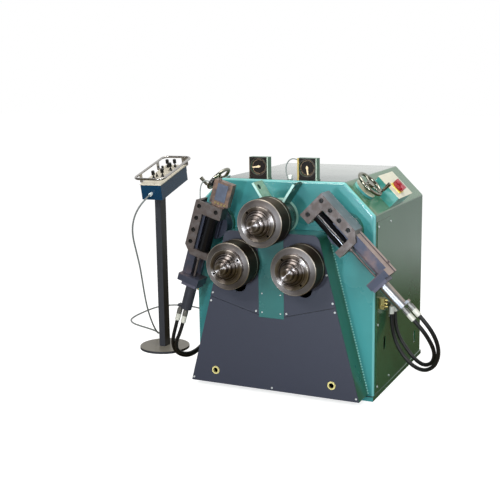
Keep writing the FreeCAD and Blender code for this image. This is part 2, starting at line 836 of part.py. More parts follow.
def handwheel(side, handle_turn):
    rim = Part.makeTorus(WHEEL_RIM, WHEEL_RIM_R, V(0, 0, WHEEL_OUT))
    parts = [
        rim,
        rod(V(0, 0, -worm_depth() - 48), V(0, 0, WHEEL_OUT + 8), 12),
        rod(V(0, 0, WHEEL_OUT - 16), V(0, 0, WHEEL_OUT + 8), 22),
        rod(V(0, 0, -worm_depth() - 34), V(0, 0, -worm_depth() + 34), WORM_R),
    ]
    for k in range(3):
        a = math.radians(120 * k + handle_turn)
        d = V(math.cos(a), math.sin(a), 0)
        parts.append(rod(d * 14 + V(0, 0, WHEEL_OUT), d * WHEEL_RIM + V(0, 0, WHEEL_OUT), 5.5))
    a = math.radians(handle_turn)
    p = V(math.cos(a), math.sin(a), 0) * (WHEEL_RIM - 2)
    parts.append(rod(p + V(0, 0, WHEEL_OUT), p + V(0, 0, WHEEL_OUT + 22), 5))
    parts.append(taper(p + V(0, 0, WHEEL_OUT + 20), p + V(0, 0, WHEEL_OUT + 70), 8, 10.5))
    body = join(parts)
    body.rotate(V(0, 0, 0), V(0, 1, 0), 45.0 * side)
    body.translate(shoulder_point(side))
    return body


# ---------------------------------------------------------------- dials and switch


def dial_box(x):
    z0 = CASING_H
    half = DIAL_W / 2.0
    body = box(x - half, x + half, DIAL_Y, DIAL_Y + DIAL_D, z0, z0 + DIAL_H)
    mid = z0 + DIAL_H / 2.0 + 6.5
    body = body.cut(along_y(42, DIAL_Y - 1, DIAL_Y + 8, x, mid))
    bezel = along_y(46, DIAL_Y - 2, DIAL_Y + 1, x, mid).cut(along_y(42, DIAL_Y - 3, DIAL_Y + 2, x, mid))
    extras = [bezel]
    for sx in (-1, 1):
        for z in (z0 + 12, z0 + DIAL_H - 12):
            extras.append(along_y(5, DIAL_Y - 3, DIAL_Y + 1, x + sx * (half - 9), z))
    extras.append(box(x - half - 6, x + half + 6, DIAL_Y + 8, DIAL_Y + DIAL_D - 6, z0, z0 + 4))
    body = join([body] + extras)
    return body.cut(along_y(3 + RUN, DIAL_Y + 7, DIAL_Y + 16, x, mid))


def pointer(x, turn):
    mid = CASING_H + DIAL_H / 2.0 + 6.5
    body = join([
        along_y(3, DIAL_Y + 2, DIAL_Y + 15, x, mid),
        along_y(6.5, DIAL_Y + 1.5, DIAL_Y + 4.5, x, mid),
        plate([(x - 4.5, mid), (x - 3, mid + 33), (x, mid + 37), (x + 3, mid + 33), (x + 4.5, mid),
               (x + 3, mid - 9), (x - 3, mid - 9)], DIAL_Y + 1.5, DIAL_Y + 4),
    ])
    body.rotate(V(x, 0, mid), V(0, 1, 0), turn)
    return body


def place_switch(shape):
    out = shape.copy()
    out.rotate(V(0, 0, 0), V(0, 1, 0), 45.0)
    out.translate(V(CASING_W / 2 - SHOULDER + 44.0, 0, CASING_H - 44.0))
    return out


def switch_box():
    body = box(0, 153, 257, 490, 0.0, 69)
    lid = box(-3, 156, 254, 493, 69, 72)
    plinth = box(SWITCH_U - 35, SWITCH_U + 35, SWITCH_Y - 35, SWITCH_Y + 35, 72, 76)
    body = join([body, lid, plinth])
    return body.cut(rod(V(SWITCH_U, SWITCH_Y, 50), V(SWITCH_U, SWITCH_Y, 77), 8 + RUN))


def main_switch():
    return join([
        rod(V(SWITCH_U, SWITCH_Y, 55), V(SWITCH_U, SWITCH_Y, 78), 8),
        rod(V(SWITCH_U, SWITCH_Y, 77), V(SWITCH_U, SWITCH_Y, 92), 29),
        box(SWITCH_U - 32, SWITCH_U + 32, SWITCH_Y - 10, SWITCH_Y + 10, 78, 108),
    ])


# ---------------------------------------------------------------- interior


def oil_tank():
    body = box(-330, 330, 470, 830, BASE_T, 300)
    body = body.cut(box(-324, 324, 476, 824, BASE_T + 6, 294))
    neck = rod(V(-250, 760, 290), V(-250, 760, 330), 32)
    cap = rod(V(-250, 760, 330), V(-250, 760, 346), 40)
    return join([body, neck, cap])


def pump_motor():
    z = 455.0
    parts = [
        rod(V(-190, 640, z), V(130, 640, z), 105),
        rod(V(130, 640, z), V(170, 640, z), 125),
        rod(V(170, 640, z), V(290, 640, z), 58),
        box(-80, 20, 600, 680, z + 90, z + 150),
    ]
    for x in (-150, 80):
        parts.append(box(x - 25, x + 25, 550, 730, 300, z - 60))
    fins = []
    for k in range(9):
        fins.append(rod(V(-170 + 32 * k, 640, z), V(-160 + 32 * k, 640, z), 113))
    return join(parts + fins)


# ---------------------------------------------------------------- cords


def cord(name, points, r, limp=False):
    """A round cord along straight runs joined by tangent arcs, checked by its volume."""
    radii = [0.0]
    for i in range(1, len(points) - 1):
        a = points[i - 1] - points[i]
        b = points[i + 1] - points[i]
        turn = math.pi - a.getAngle(b)
        radii.append(0.45 * min(a.Length, b.Length) / math.tan(turn / 2.0))
    radii.append(0.0)
    path = outline(points, radii, closed=False)
    start = points[0]
    ring = Part.Circle(start, points[1] - start, r).toShape()
    body = path.makePipe(Part.Face(Part.Wire([ring])))
    ideal = math.pi * r * r * path.Length
    off = abs(body.Volume / ideal - 1.0)
    need = (3.0 if limp else 5.0) * 2 * r
    tight = min(radii[1:-1])
    print("%s length %.0f, tightest bend %.0f (least %.0f), volume off %.4f"
          % (name, path.Length, tight, need, off))
    if off > 0.02 or tight < need:
        raise ValueError(name + " is not a sound cord")
    return body


def hose(name, side, port, points, fitting):
    """A hose from a guide cylinder's port to a fitting; its points lie out from the casing's side."""
    t = PORT_T[port]
    start = [guide_point(side, 513, t, RAM_Y), guide_point(side, 603, t, RAM_Y)]
    x = CASING_W / 2 + FITTING_OUT
    y = FITTING_Y[fitting]
    end = [V(side * x, y, FITTING_Z - 106), V(side * x, y, FITTING_Z - 22)]
    middle = [V(side * (CASING_W / 2 + a), b, GUIDE_Z - c) for a, b, c in points]
    return cord(name, start + middle + end, HOSE_R)


def bulkhead_fitting(side):
    """Elbows for two hoses, and the small manifold that a pipe joins them to."""
    out = []
    panel = CASING_W / 2.0 + 3.0
    x = CASING_W / 2 + FITTING_OUT
    z = FITTING_Z
    for y in FITTING_Y:
        body = join([
            rod(V(panel, y, z), V(panel + 8, y, z), 12),
            rod(V(panel + 7, y, z), V(x + 10, y, z), 10),
            rod(V(x, y, z + 10), V(x, y, z - 22), 10),
            rod(V(x, y, z - 8), V(x, y, z - 22), FERRULE_R + 1),
            rod(V(x, y, z - 20), V(x, y, z - 58), FERRULE_R),
        ])
        out.append(body.cut(rod(V(x, y, z - 59), V(x, y, z - 21), HOSE_R + RUN)))
    block = box(panel, panel + 26, 66, 92, z - 8, z + 50)
    ports = []
    for step in (4, 21, 38):
        ports.append(rod(V(panel + 25, 79, z + step), V(panel + 40, 79, z + step), 6.5))
    ports.append(rod(V(panel + 13, 67, z + 10), V(panel + 13, 54, z + 10), 6))
    bend = V(x, FITTING_Y[0] - 30, z + 12)
    low = V(x, FITTING_Y[0], z + 4)
    high = V(panel + 13, 91, z + 34)
    pipe = join([rod(low, bend, 5), rod(bend, high, 5), Part.makeSphere(5, bend)])
    ports.append(pipe)
    out[0] = join([out[0], block] + ports)
    shape = Part.makeCompound(out)
    return shape if side > 0 else flat_mirror(shape)


def cable_gland():
    half = CASING_W / 2.0
    y = CABLE_IN_Y
    z = CABLE_IN_Z
    body = join([
        rod(V(-half, y, z), V(-half - 8, y, z), 17),
        rod(V(-half - 7, y, z), V(-half - 32, y, z), 11),
    ])
    return body.cut(rod(V(-half - 8, y, z), V(-half - 33, y, z), CABLE_R + RUN))


def dial_cable():
    """The grey lead that loops from the casing's top into the right dial's side."""
    x = DIAL_X[1] - DIAL_W / 2.0
    y = DIAL_Y + DIAL_D / 2.0
    z = CASING_H
    points = [V(x - 59, y, z + 1), V(x - 68, y, z + 24), V(x - 72, y, z + 48), V(x - 69, y, z + 73),
              V(x - 56, y, z + 95), V(x - 36, y, z + 106), V(x - 16, y, z + 104), V(x - 1, y, z + 97)]
    return cord("dial_cable", points, WIRE_R, limp=True)


# ---------------------------------------------------------------- pedestal


def place_desk(shape):
    out = shape.copy()
    out.rotate(V(0, 0, 0), V(1, 0, 0), DESK_TILT)
    out.rotate(V(0, 0, 0), V(0, 0, 1), DESK_YAW)
    out.translate(DESK_AT)
    return out


def desk_point(x, y, z):
    turn = FreeCAD.Rotation(V(0, 0, 1), DESK_YAW).multiply(FreeCAD.Rotation(V(1, 0, 0), DESK_TILT))
    return DESK_AT + turn.multVec(V(x, y, z))


def pedestal_stand():
    w = POST_W / 2.0
    k = POST_L / 2.0
    top = DESK_AT.z + math.tan(math.radians(DESK_TILT)) * (POST_Y - DESK_AT.y)
    post = box(POST_X - w, POST_X + w, POST_Y - k, POST_Y + k, DISC_T - 1, top + 20)
    under = place_desk(box(-120, 120, -60, DESK_L + 60, 0, 200))
    post = post.cut(under)
    saddle = place_desk(box(-56, 56, 104, 206, -6, 0))
    disc = rod(V(POST_X, POST_Y, 0), V(POST_X, POST_Y, DISC_T), DISC_R)
    return join([post, saddle, disc])


def pedestal_box():
    half = DESK_W / 2.0
    body = box(-half, half, 0, DESK_L, 0, DESK_H - 4)
    body = body.cut(box(-half + 3, half - 3, 3, DESK_L - 3, 3, DESK_H - 7))
    lid = box(-half - 3, half + 3, -3, DESK_L + 3, DESK_H - 4, DESK_H)
    knobs = [
        rod(V(-42, 257, DESK_H - 1), V(-42, 257, DESK_H + 26), 7),
        rod(V(-24, 139, DESK_H - 1), V(-24, 139, DESK_H + 12), 6),
        rod(V(-24, 139, DESK_H + 10), V(-22, 135, DESK_H + 24), 2.5),
    ]
    gland = rod(V(0, 1, 38), V(0, -22, 38), 10)
    body = join([body, lid, gland] + knobs)
    cuts = [rod(V(0, 4, 38), V(0, -23, 38), CABLE_R + RUN)]
    for x, y in lever_spots():
        cuts.append(box(x - 9, x + 9, y - 9, y + 9, DESK_H - 8, DESK_H + 1))
    return place_desk(body.cut(cuts))


def lever_spots():
    return ((-27, 102), (12, 142), (12, 253), (-34, 312), (11, 320))


def lever(x, y):
    """A short joystick; its cross pin lies level with the top plate."""
    body = join([
        rod(V(x - 8, y, DESK_H - 2), V(x + 8, y, DESK_H - 2), 3),
        rod(V(x, y, DESK_H - 2), V(x, y, DESK_H + 30), 3.5),
        taper(V(x, y, DESK_H + 3), V(x, y, DESK_H + 14), 9, 6),
        rod(V(x, y, DESK_H + 24), V(x, y, DESK_H + 46), 10),
        taper(V(x, y, DESK_H + 46), V(x, y, DESK_H + 49), 10, 7),
    ])
    return place_desk(body)


def guard_rail():
    """A bent tube round the desk's top, on two plates at the left side and one at the far end."""
    z = DESK_H + 40.0
    wide = DESK_W / 2.0 + 27.0
    far = DESK_L + 32.0
    path = outline([V(-wide, -20, z), V(wide, -20, z), V(wide, far, z), V(-wide, far, z)], 36.0)
    runs = []
    for e in path.Edges:
        p = e.Vertexes[0].Point
        d = e.tangentAt(e.FirstParameter)
        circle = Part.Wire([Part.Circle(p, d, 7).toShape()])
        runs.append(Part.Wire([e]).makePipe(Part.Face(circle)))
    side = DESK_W / 2.0
    for y in (70, DESK_L - 60):
        runs.append(box(-side - 4, -side, y - 14, y + 14, DESK_H - 40, DESK_H - 6))
        runs.append(box(-wide, -side - 1, y - 14, y + 14, DESK_H - 10, DESK_H - 6))
        runs.append(box(-wide - 2, -wide + 2, y - 14, y + 14, DESK_H - 10, z))
    runs.append(box(side - 40, side, DESK_L, DESK_L + 4, DESK_H - 40, DESK_H - 6))
    runs.append(box(side - 40, side, DESK_L, far, DESK_H - 10, DESK_H - 6))
    runs.append(box(side - 40, side, far - 2, far + 2, DESK_H - 10, z))
    return place_desk(join(runs))


# ---------------------------------------------------------------- build


def main():
    os.makedirs(PARTS, exist_ok=True)
    save("base_frame", base_frame())
    save("casing_shell", casing_shell())
    save("access_panels", access_panels())
    save("inner_frame_plate", inner_frame_plate())
    save("front_housing", front_housing())
    right_plate = slot_plate()
    save("slot_plates", Part.makeCompound([right_plate, flat_mirror(right_plate)]))
    save("lower_front_cover", lower_front_cover())
    save("cover_screws", cover_screws())
    save("arm_pivot_pin", pivot_pin())
    save("top_bearing_boss", top_bearing_boss())
    save("top_roll_motor", top_roll_motor())
    save("oil_tank", oil_tank())
    save("pump_motor", pump_motor())

    top = V(0, 0, TOP_ROLL_Z)
    save("top_shaft", shaft(TOP_SHAFT_R, INNER_REAR - 1, top))
    save("top_roll", roll(top))
    save("top_roll_nut", roll_nut(top, -45))
    at = roll_axis()
    both_sides("swing_arm", swing_arm(False), flat_mirror(swing_arm(True)))
    both_sides("shaft", shaft(SHAFT_R, ARM_REAR - 1, at))
    both_sides("roll", roll(at))
    save("right_roll_nut", roll_nut(at, -50))
    save("left_roll_nut", roll_nut(V(-at.x, 0, at.z), 30))

    ram = lift_cylinder()
    save("lift_cylinders", Part.makeCompound([ram, flat_mirror(ram)]))
    both_sides("lift_rod", lift_rod())

    sleeve = guide_sleeve()
    save("guide_sleeves", Part.makeCompound([sleeve, flat_mirror(sleeve)]))
    arm = guide_arm()
    cylinder = guide_cylinder()
    both_sides("guide_arm", place_guide(arm, 1), place_guide(arm, -1))
    both_sides("guide_cylinder", place_guide(cylinder, 1), place_guide(cylinder, -1))
    for side, name, s0 in ((1, "right", RIGHT_SLIDE), (-1, "left", LEFT_SLIDE)):
        save(name + "_guide_holder", place_guide(guide_holder(s0), side))
        save(name + "_guide_roll", place_guide(guide_roll(s0), side))
    save("left_guide_head", place_guide(guide_head(LEFT_SLIDE), -1))
    save("left_guide_cable", head_cable(LEFT_SLIDE))

    save("right_handwheel", handwheel(1, 20))
    save("left_handwheel", handwheel(-1, 200))
    save("dial_housings", Part.makeCompound([dial_box(x) for x in DIAL_X]))
    save("dial_cable", dial_cable())
    save("left_dial_pointer", pointer(DIAL_X[0], -97))
    save("right_dial_pointer", pointer(DIAL_X[1], 172))
    save("switch_box", place_switch(switch_box()))
    save("main_switch", place_switch(main_switch()))

    fittings = [bulkhead_fitting(1), bulkhead_fitting(-1), cable_gland()]
    save("bulkhead_fittings", Part.makeCompound(fittings))
    right_outer = ((336, -106, 476), (341, -56, 549), (323, -2, 615), (288, 54, 675), (228, 106, 717),
                   (155, 152, 711), (91, 180, 663), (46, 200, 595))
    right_inner = ((306, -99, 494), (314, -41, 558), (299, 27, 617), (269, 86, 668), (217, 141, 699),
                   (154, 196, 688), (100, 222, 640), (53, 242, 584))
    left_outer = ((101, -107, 636), (131, -55, 702), (143, 11, 759), (131, 90, 796), (122, 178, 799),
                  (97, 249, 756), (60, 278, 682), (38, 272, 597))
    left_inner = ((74, -120, 646), (101, -71, 713), (106, 7, 755), (98, 92, 774), (75, 171, 749),
                  (49, 213, 684), (36, 208, 597))
    save("right_hose_front", hose("right_hose_front", 1, 1, right_outer, 0))
    save("right_hose_rear", hose("right_hose_rear", 1, 0, right_inner, 1))
    save("left_hose_front", hose("left_hose_front", -1, 0, left_inner, 0))
    save("left_hose_rear", hose("left_hose_rear", -1, 1, left_outer, 1))

    drop = [(-984, 188, 884), (-1030, 204, 805), (-1062, 244, 716), (-1070, 290, 617), (-1068, 322, 519),
            (-1069, 346, 420), (-1074, 374, 324), (-1079, 409, 230), (-1082, 455, 140), (-1092, 518, 64),
            (-1120, 601, 18), (-1179, 679, 6), (-1262, 720, 6), (-1350, 752, 6), (-1439, 793, 6),
            (-1506, 866, 6), (-1528, 964, 6), (-1532, 1064, 6), (-1530, 1165, 6), (-1513, 1263, 6),
            (-1449, 1338, 6), (-1351, 1356, 6), (-1252, 1339, 6), (-1159, 1300, 6), (-1074, 1246, 6),
            (-993, 1187, 6), (-916, 1122, 6), (-843, 1053, 8), (-776, 979, 12), (-713, 901, 23),
            (-672, 826, 50), (-640, 757, 80)]
    start = [desk_point(0, -2, 38), desk_point(0, -62, 38)]
    side = -CASING_W / 2
    end = [V(side - 85, CABLE_IN_Y, CABLE_IN_Z), V(side - 9, CABLE_IN_Y, CABLE_IN_Z)]
    save("control_cable", cord("control_cable", start + [V(*p) for p in drop] + end, CABLE_R, limp=True))

    save("pedestal_stand", pedestal_stand())
    save("pedestal_box", pedestal_box())
    save("pedestal_guard_rail", guard_rail())
    for i, (x, y) in enumerate(lever_spots()):
        save("pedestal_lever_%d" % (i + 1), lever(x, y))
    print("done")


main()
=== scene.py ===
import math

import bpy
from mathutils import Matrix, Vector


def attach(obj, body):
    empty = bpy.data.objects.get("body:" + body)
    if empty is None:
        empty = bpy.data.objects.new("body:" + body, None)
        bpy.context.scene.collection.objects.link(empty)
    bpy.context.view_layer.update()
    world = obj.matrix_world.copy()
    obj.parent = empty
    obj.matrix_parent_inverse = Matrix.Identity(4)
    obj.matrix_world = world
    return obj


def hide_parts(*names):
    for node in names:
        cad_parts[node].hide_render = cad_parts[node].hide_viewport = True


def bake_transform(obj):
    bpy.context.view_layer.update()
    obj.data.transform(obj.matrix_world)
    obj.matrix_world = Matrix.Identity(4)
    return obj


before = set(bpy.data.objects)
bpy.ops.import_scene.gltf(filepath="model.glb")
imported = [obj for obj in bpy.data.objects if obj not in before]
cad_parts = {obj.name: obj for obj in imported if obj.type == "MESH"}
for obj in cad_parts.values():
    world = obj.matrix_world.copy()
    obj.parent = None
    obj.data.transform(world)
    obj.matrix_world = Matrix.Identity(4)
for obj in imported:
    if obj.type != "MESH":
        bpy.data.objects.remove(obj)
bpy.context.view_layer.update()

# ---- Camera -------------------------------------------------------------------------
# One fixed camera a little above the machine's height, to the right of its front.
camera_data = bpy.data.cameras.new("camera")
camera_data.sensor_fit = "HORIZONTAL"
camera_data.sensor_width = 36.0
camera_data.lens = 66.79
camera = bpy.data.objects.new("camera", camera_data)
camera.location = (1.8746, -4.7398, 1.6298)
camera.rotation_euler = (math.radians(79.3266), math.radians(0.8188), math.radians(25.3758))
bpy.context.scene.collection.objects.link(camera)
bpy.context.scene.camera = camera
bpy.context.scene.view_settings.view_transform = "Standard"


# ---- Hydraulic hoses ----------------------------------------------------------------
# Black rubber hoses, two a side, crimped into the ferrules at the end of each guide
# cylinder and at the elbows on the side panels. They hang in open loops.
HALF_DEPTH = 0.435  # metres from the casing's middle to its front plate
HOSE_RADIUS = 0.010
SIGN = {"right": 1, "left": -1}
LEAN = {"right": 45.0, "left": 17.0}  # each guide's rest, in degrees from straight down
# Routes are in millimetres: x from the middle, y behind the front plate, z from the floor.
PIVOT_X, PIVOT_Z = 352.0, 870.0  # where each side guide swings
CASING_SIDE = 500
HOSE_START, HOSE_STRAIGHT, HOSE_Y = 513, 603, -145  # the first two down the guide
ELBOW_X, ELBOW_LOW, ELBOW_HIGH = 530, 364, 448


def calc(nodes, links, operation, *values):
    """A Math node; each value is a number or a socket."""
    m = nodes.new("ShaderNodeMath")
    m.operation = operation
    for socket, value in zip(m.inputs, values):
        if isinstance(value, (int, float)):
            socket.default_value = value
        else:
            links.new(value, socket)
    return m.outputs[0]


def noise(nodes, links, scale, detail=3.0, rough=0.55):
    """Cloudy noise fixed to the object, from 0 to 1."""
    n = nodes.new("ShaderNodeTexNoise")
    n.inputs["Scale"].default_value = scale
    n.inputs["Detail"].default_value = detail
    n.inputs["Roughness"].default_value = rough
    links.new(nodes.new("ShaderNodeTexCoord").outputs["Object"], n.inputs["Vector"])
    return n.outputs["Fac"]


def blend(nodes, links, kind, factor, a, b):
    """A Mix node of colours (RGBA) or numbers (FLOAT)."""
    m = nodes.new("ShaderNodeMix")
    m.data_type = kind
    first, second, out = (6, 7, 2) if kind == "RGBA" else (2, 3, 0)
    links.new(factor, m.inputs[0])
    for index, value in ((first, a), (second, b)):
        if isinstance(value, (int, float)):
            m.inputs[index].default_value = value
        elif isinstance(value, tuple):
            m.inputs[index].default_value = (*value, 1.0)
        else:
            links.new(value, m.inputs[index])
    return m.outputs[out]


def surface(name, colour, roughness=0.4, metallic=0.0, patches=(), spread=0.12, broad=3.0,
            grain=160.0, depth=0.0004, coat=0.0):
    """A finish with a main colour and patches of (mask, colour, roughness, metallic) over it.

    The colour wanders by spread over clouds of scale broad, and a fine grain lies on top.
    """
    m = bpy.data.materials.new(name)
    m.use_nodes = True
    nodes = m.node_tree.nodes
    links = m.node_tree.links
    shader = nodes["Principled BSDF"]
    rough, metal = roughness, metallic
    metal_varies = any(patch[3] != metallic for patch in patches)
    for mask, patch_colour, patch_rough, patch_metal in patches:
        where = mask(nodes, links)
        colour = blend(nodes, links, "RGBA", where, colour, patch_colour)
        rough = blend(nodes, links, "FLOAT", where, rough, patch_rough)
        if metal_varies:
            metal = blend(nodes, links, "FLOAT", where, metal, patch_metal)
    cloud = noise(nodes, links, broad, 5.0, 0.6)
    level = calc(nodes, links, "MULTIPLY_ADD", cloud, 4.0 * spread, 1.0 - 2.0 * spread)
    tint = nodes.new("ShaderNodeVectorMath")
    tint.operation = "SCALE"
    if isinstance(colour, tuple):
        tint.inputs[0].default_value = colour
    else:
        links.new(colour, tint.inputs[0])
    links.new(level, tint.inputs["Scale"])
    links.new(tint.outputs[0], shader.inputs["Base Color"])
    dull = calc(nodes, links, "ADD", rough, 0.1)
    links.new(calc(nodes, links, "MULTIPLY_ADD", cloud, -0.2, dull), shader.inputs["Roughness"])
    if isinstance(metal, (int, float)):
        shader.inputs["Metallic"].default_value = metal
    else:
        links.new(metal, shader.inputs["Metallic"])
    shader.inputs["Coat Weight"].default_value = coat
    shader.inputs["Coat Roughness"].default_value = 0.08
    bump = nodes.new("ShaderNodeBump")
    bump.inputs["Strength"].default_value = 0.1
    bump.inputs["Distance"].default_value = depth
    links.new(noise(nodes, links, grain, 2.0), bump.inputs["Height"])
    links.new(bump.outputs["Normal"], shader.inputs["Normal"])
    return m


def cord(name, points, radius, cad_node, finish, body,
         swings_with=None):
    """A cord on a smooth spline, placed on a body; where it meets a swinging guide, it is turned
    into a plain mesh and placed on no body.
    """
    curve = bpy.data.curves.new(name, "CURVE")
    curve.dimensions = "3D"
    curve.bevel_depth = radius
    curve.bevel_resolution = 5
    curve.resolution_u = 6
    curve.use_fill_caps = True
    spline = curve.splines.new("NURBS")
    spline.points.add(len(points) - 1)
    for p, (x, y, z) in zip(spline.points, points):
        p.co = (x / 1000.0, y / 1000.0 - HALF_DEPTH, z / 1000.0, 1.0)
    spline.order_u = 3
    spline.use_endpoint_u = True
    piece = bpy.data.objects.new(name, curve)
    bpy.context.scene.collection.objects.link(piece)
    curve.materials.append(finish)
    path = None
    if swings_with:
        curve.bevel_depth = 0.0
        bpy.context.view_layer.update()
        path = [tuple(v.co) for v in bpy.data.meshes.new_from_object(piece).vertices]
        curve.bevel_depth = radius
        bpy.context.view_layer.update()
        mesh = bpy.data.meshes.new_from_object(piece)
        bpy.data.objects.remove(piece)
        piece = bpy.data.objects.new(name, mesh)
        bpy.context.scene.collection.objects.link(piece)
    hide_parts(cad_node)
    if swings_with:
        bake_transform(piece)
    else:
        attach(piece, body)


def guide_point(side, s, t, y):
    """A point s down a leaning guide from its pivot, t outwards and y behind the plate."""
    a = math.radians(LEAN[side])
    x = PIVOT_X + s * math.sin(a) + t * math.cos(a)
    return (SIGN[side] * x, y, PIVOT_Z - s * math.cos(a) + t * math.sin(a))


rubber = surface("black_hose_rubber", (0.005, 0.005, 0.006), 0.52, grain=90.0)
# Side, how far out its port is, y of its elbow, length in metres, and the points between:
# out from the casing's side, behind the front plate, down from the pivot.
hose_routes = {
    "right_hose_front": ("right", 36.0, 190, 0.954, (
        (336, -106, 476), (341, -56, 549), (323, -2, 615), (288, 54, 675), (228, 106, 717),
        (155, 152, 711), (91, 180, 663), (46, 200, 595))),
    "right_hose_rear": ("right", 0.0, 250, 0.912, (
        (306, -99, 494), (314, -41, 558), (299, 27, 617), (269, 86, 668), (217, 141, 699),
        (154, 196, 688), (100, 222, 640), (53, 242, 584))),
    "left_hose_front": ("left", 0.0, 190, 0.861, (
        (74, -120, 646), (101, -71, 713), (106, 7, 755), (98, 92, 774), (75, 171, 749),
        (49, 213, 684), (36, 208, 597))),
    "left_hose_rear": ("left", 36.0, 250, 0.961, (
        (101, -107, 636), (131, -55, 702), (143, 11, 759), (131, 90, 796), (122, 178, 799),
        (97, 249, 756), (60, 278, 682), (38, 272, 597))),
}
for name, (side, t, end_y, length, middle) in hose_routes.items():
    points = [guide_point(side, s, t, HOSE_Y) for s in (HOSE_START, HOSE_STRAIGHT)]
    points += [(SIGN[side] * (CASING_SIDE + x), y, PIVOT_Z - z) for x, y, z in middle]
    points += [(SIGN[side] * ELBOW_X, end_y, z) for z in (ELBOW_LOW, ELBOW_HIGH)]
    cord(name + "_rubber", points, HOSE_RADIUS, name, rubber, "machine",
         swings_with=side + "_guide")

# ---- Control cable ------------------------------------------------------------------
# One grey rubber-sheathed cable from the front of the desk box, down beside its post, in a
# loose loop over the floor and into a gland low on the machine's left.
CABLE_RADIUS = 0.005
DESK_YAW, DESK_TILT = 4.2, 13.08  # degrees
DESK_FRONT = (-928.3, 264.4, 929.2)  # middle of the desk box's lower front edge
sheath = surface("grey_cable_sheath", (0.16, 0.175, 0.17), 0.42, grain=60.0)
desk_turn = (Matrix.Rotation(math.radians(DESK_YAW), 3, "Z")
             @ Matrix.Rotation(math.radians(DESK_TILT), 3, "X"))


def desk_point(x, y, z):
    """A point given along the desk box: x to its right, y to its far end, z through its lid."""
    return tuple(Vector(DESK_FRONT) + desk_turn @ Vector((x, y, z)))


cable_points = [desk_point(0, -2, 38), desk_point(0, -62, 38)]
cable_points += [
    (-984, 188, 884), (-1030, 204, 805), (-1062, 244, 716), (-1070, 290, 617), (-1068, 322, 519),
    (-1069, 346, 420), (-1074, 374, 324), (-1079, 409, 230), (-1082, 455, 140), (-1092, 518, 64),
    (-1120, 601, 18), (-1179, 679, 6), (-1262, 720, 6), (-1350, 752, 6), (-1439, 793, 6),
    (-1506, 866, 6), (-1528, 964, 6), (-1532, 1064, 6), (-1530, 1165, 6), (-1513, 1263, 6),
    (-1449, 1338, 6), (-1351, 1356, 6), (-1252, 1339, 6), (-1159, 1300, 6), (-1074, 1246, 6),
    (-993, 1187, 6), (-916, 1122, 6), (-843, 1053, 8), (-776, 979, 12), (-713, 901, 23),
    (-672, 826, 50), (-640, 757, 80), (-585, 720, 110), (-509, 720, 110),
]
cord("control_cable_sheath", cable_points, CABLE_RADIUS, "control_cable", sheath,
     "machine")

# ---- Thin sensor leads --------------------------------------------------------------
# Pale plastic leads. One loops up from its socket to the right dial, and one arches from
# the traverse head's knob into the top of the left holder.
LEAD_RADIUS = 0.003
HEAD_LEAD_Y = -126
lead = surface("pale_lead_sheath", (0.19, 0.22, 0.21), 0.4, grain=60.0)
dial_points = [
    (19.5, 44.5, 1106), (10.5, 44.5, 1129), (6.5, 44.5, 1153), (9.5, 44.5, 1178),
    (22.5, 44.5, 1200), (42.5, 44.5, 1211), (62.5, 44.5, 1209), (77.5, 44.5, 1202),
]
cord("dial_lead", dial_points, LEAD_RADIUS, "dial_cable", lead, "machine")
head_points = [
    guide_point("left", s, t, HEAD_LEAD_Y)
    for s, t in ((-221, 52), (-221, 72), (-215, 90), (-198, 100), (-178, 102), (-158, 99),
                 (-138, 94), (-117.5, 88))
]
cord("head_lead", head_points, LEAD_RADIUS, "left_guide_cable", lead,
     "left_holder")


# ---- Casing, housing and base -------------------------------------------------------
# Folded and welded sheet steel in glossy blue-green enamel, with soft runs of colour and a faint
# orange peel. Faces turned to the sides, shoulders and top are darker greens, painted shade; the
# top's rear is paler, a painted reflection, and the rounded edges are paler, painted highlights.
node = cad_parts
UP, FRONT, BACK = (0.0, 0.0, 1.0), (0.0, -1.0, 0.0), (0.0, 1.0, 0.0)
RIGHT, LEFT = (1.0, 0.0, 0.0), (-1.0, 0.0, 0.0)
SHOULDERS = ((0.707, 0.0, 0.707), (-0.707, 0.0, 0.707))
TOP_EDGES = ((0.0, -0.707, 0.707), (0.5, -0.707, 0.5), (-0.5, -0.707, 0.5))
CORNERS = ((0.707, -0.707, 0.0), (-0.707, -0.707, 0.0))
SEAT_FOOT, SEAT_FACE, SEAT_TOP = 1.0225, 1.0345, 1.0375  # the handwheels' seats
PLATE_BACK = -0.415  # the front plate and its folds lie before this
SHADE_UNDER_COVERS = (-0.5725, -0.5695)  # the housing's face behind the dark covers, painted near black as painted shade
RIB_ENDS = (-0.545, -0.535)  # front ends of the boss's two lifting ribs, where a painted highlight lies
TOP_AXIS = (0.0, 0.920)  # x and z of the top roll and its bearing boss
BOSS_FOOT, PAST_BOSS = (0.0865, 0.096), (0.086, 0.3)  # radii; the first pair bounds a painted highlight round the boss's foot

TEAL = (0.045, 0.240, 0.245)
# Painted highlights along the rounded top edges and the front corners.
EDGE_HIGHLIGHT_TEAL = (0.17, 0.45, 0.43)
CORNER_HIGHLIGHT_TEAL = (0.13, 0.38, 0.38)
# Painted shade on the faces turned to the shoulders.
SHOULDER_SHADE_GREEN = (0.055, 0.165, 0.075)
# Painted shade on the top.
TOP_SHADE_GREEN = (0.03, 0.07, 0.055)
# A painted reflection, paler toward the top's rear.
TOP_REAR_REFLECTION = (0.42, 0.46, 0.44)
SEAT_CREAM = (0.52, 0.52, 0.37)
# Painted shade on the front housing's side walls.
SIDE_SHADE_GREEN = (0.014, 0.095, 0.055)


def reach(nodes, links, direction, coordinate="Object"):
    """How far a point, or a normal, reaches in a direction."""
    d = nodes.new("ShaderNodeVectorMath")
    d.operation = "DOT_PRODUCT"
    d.inputs[1].default_value = direction
    links.new(nodes.new("ShaderNodeTexCoord").outputs[coordinate], d.inputs[0])
    return d.outputs["Value"]


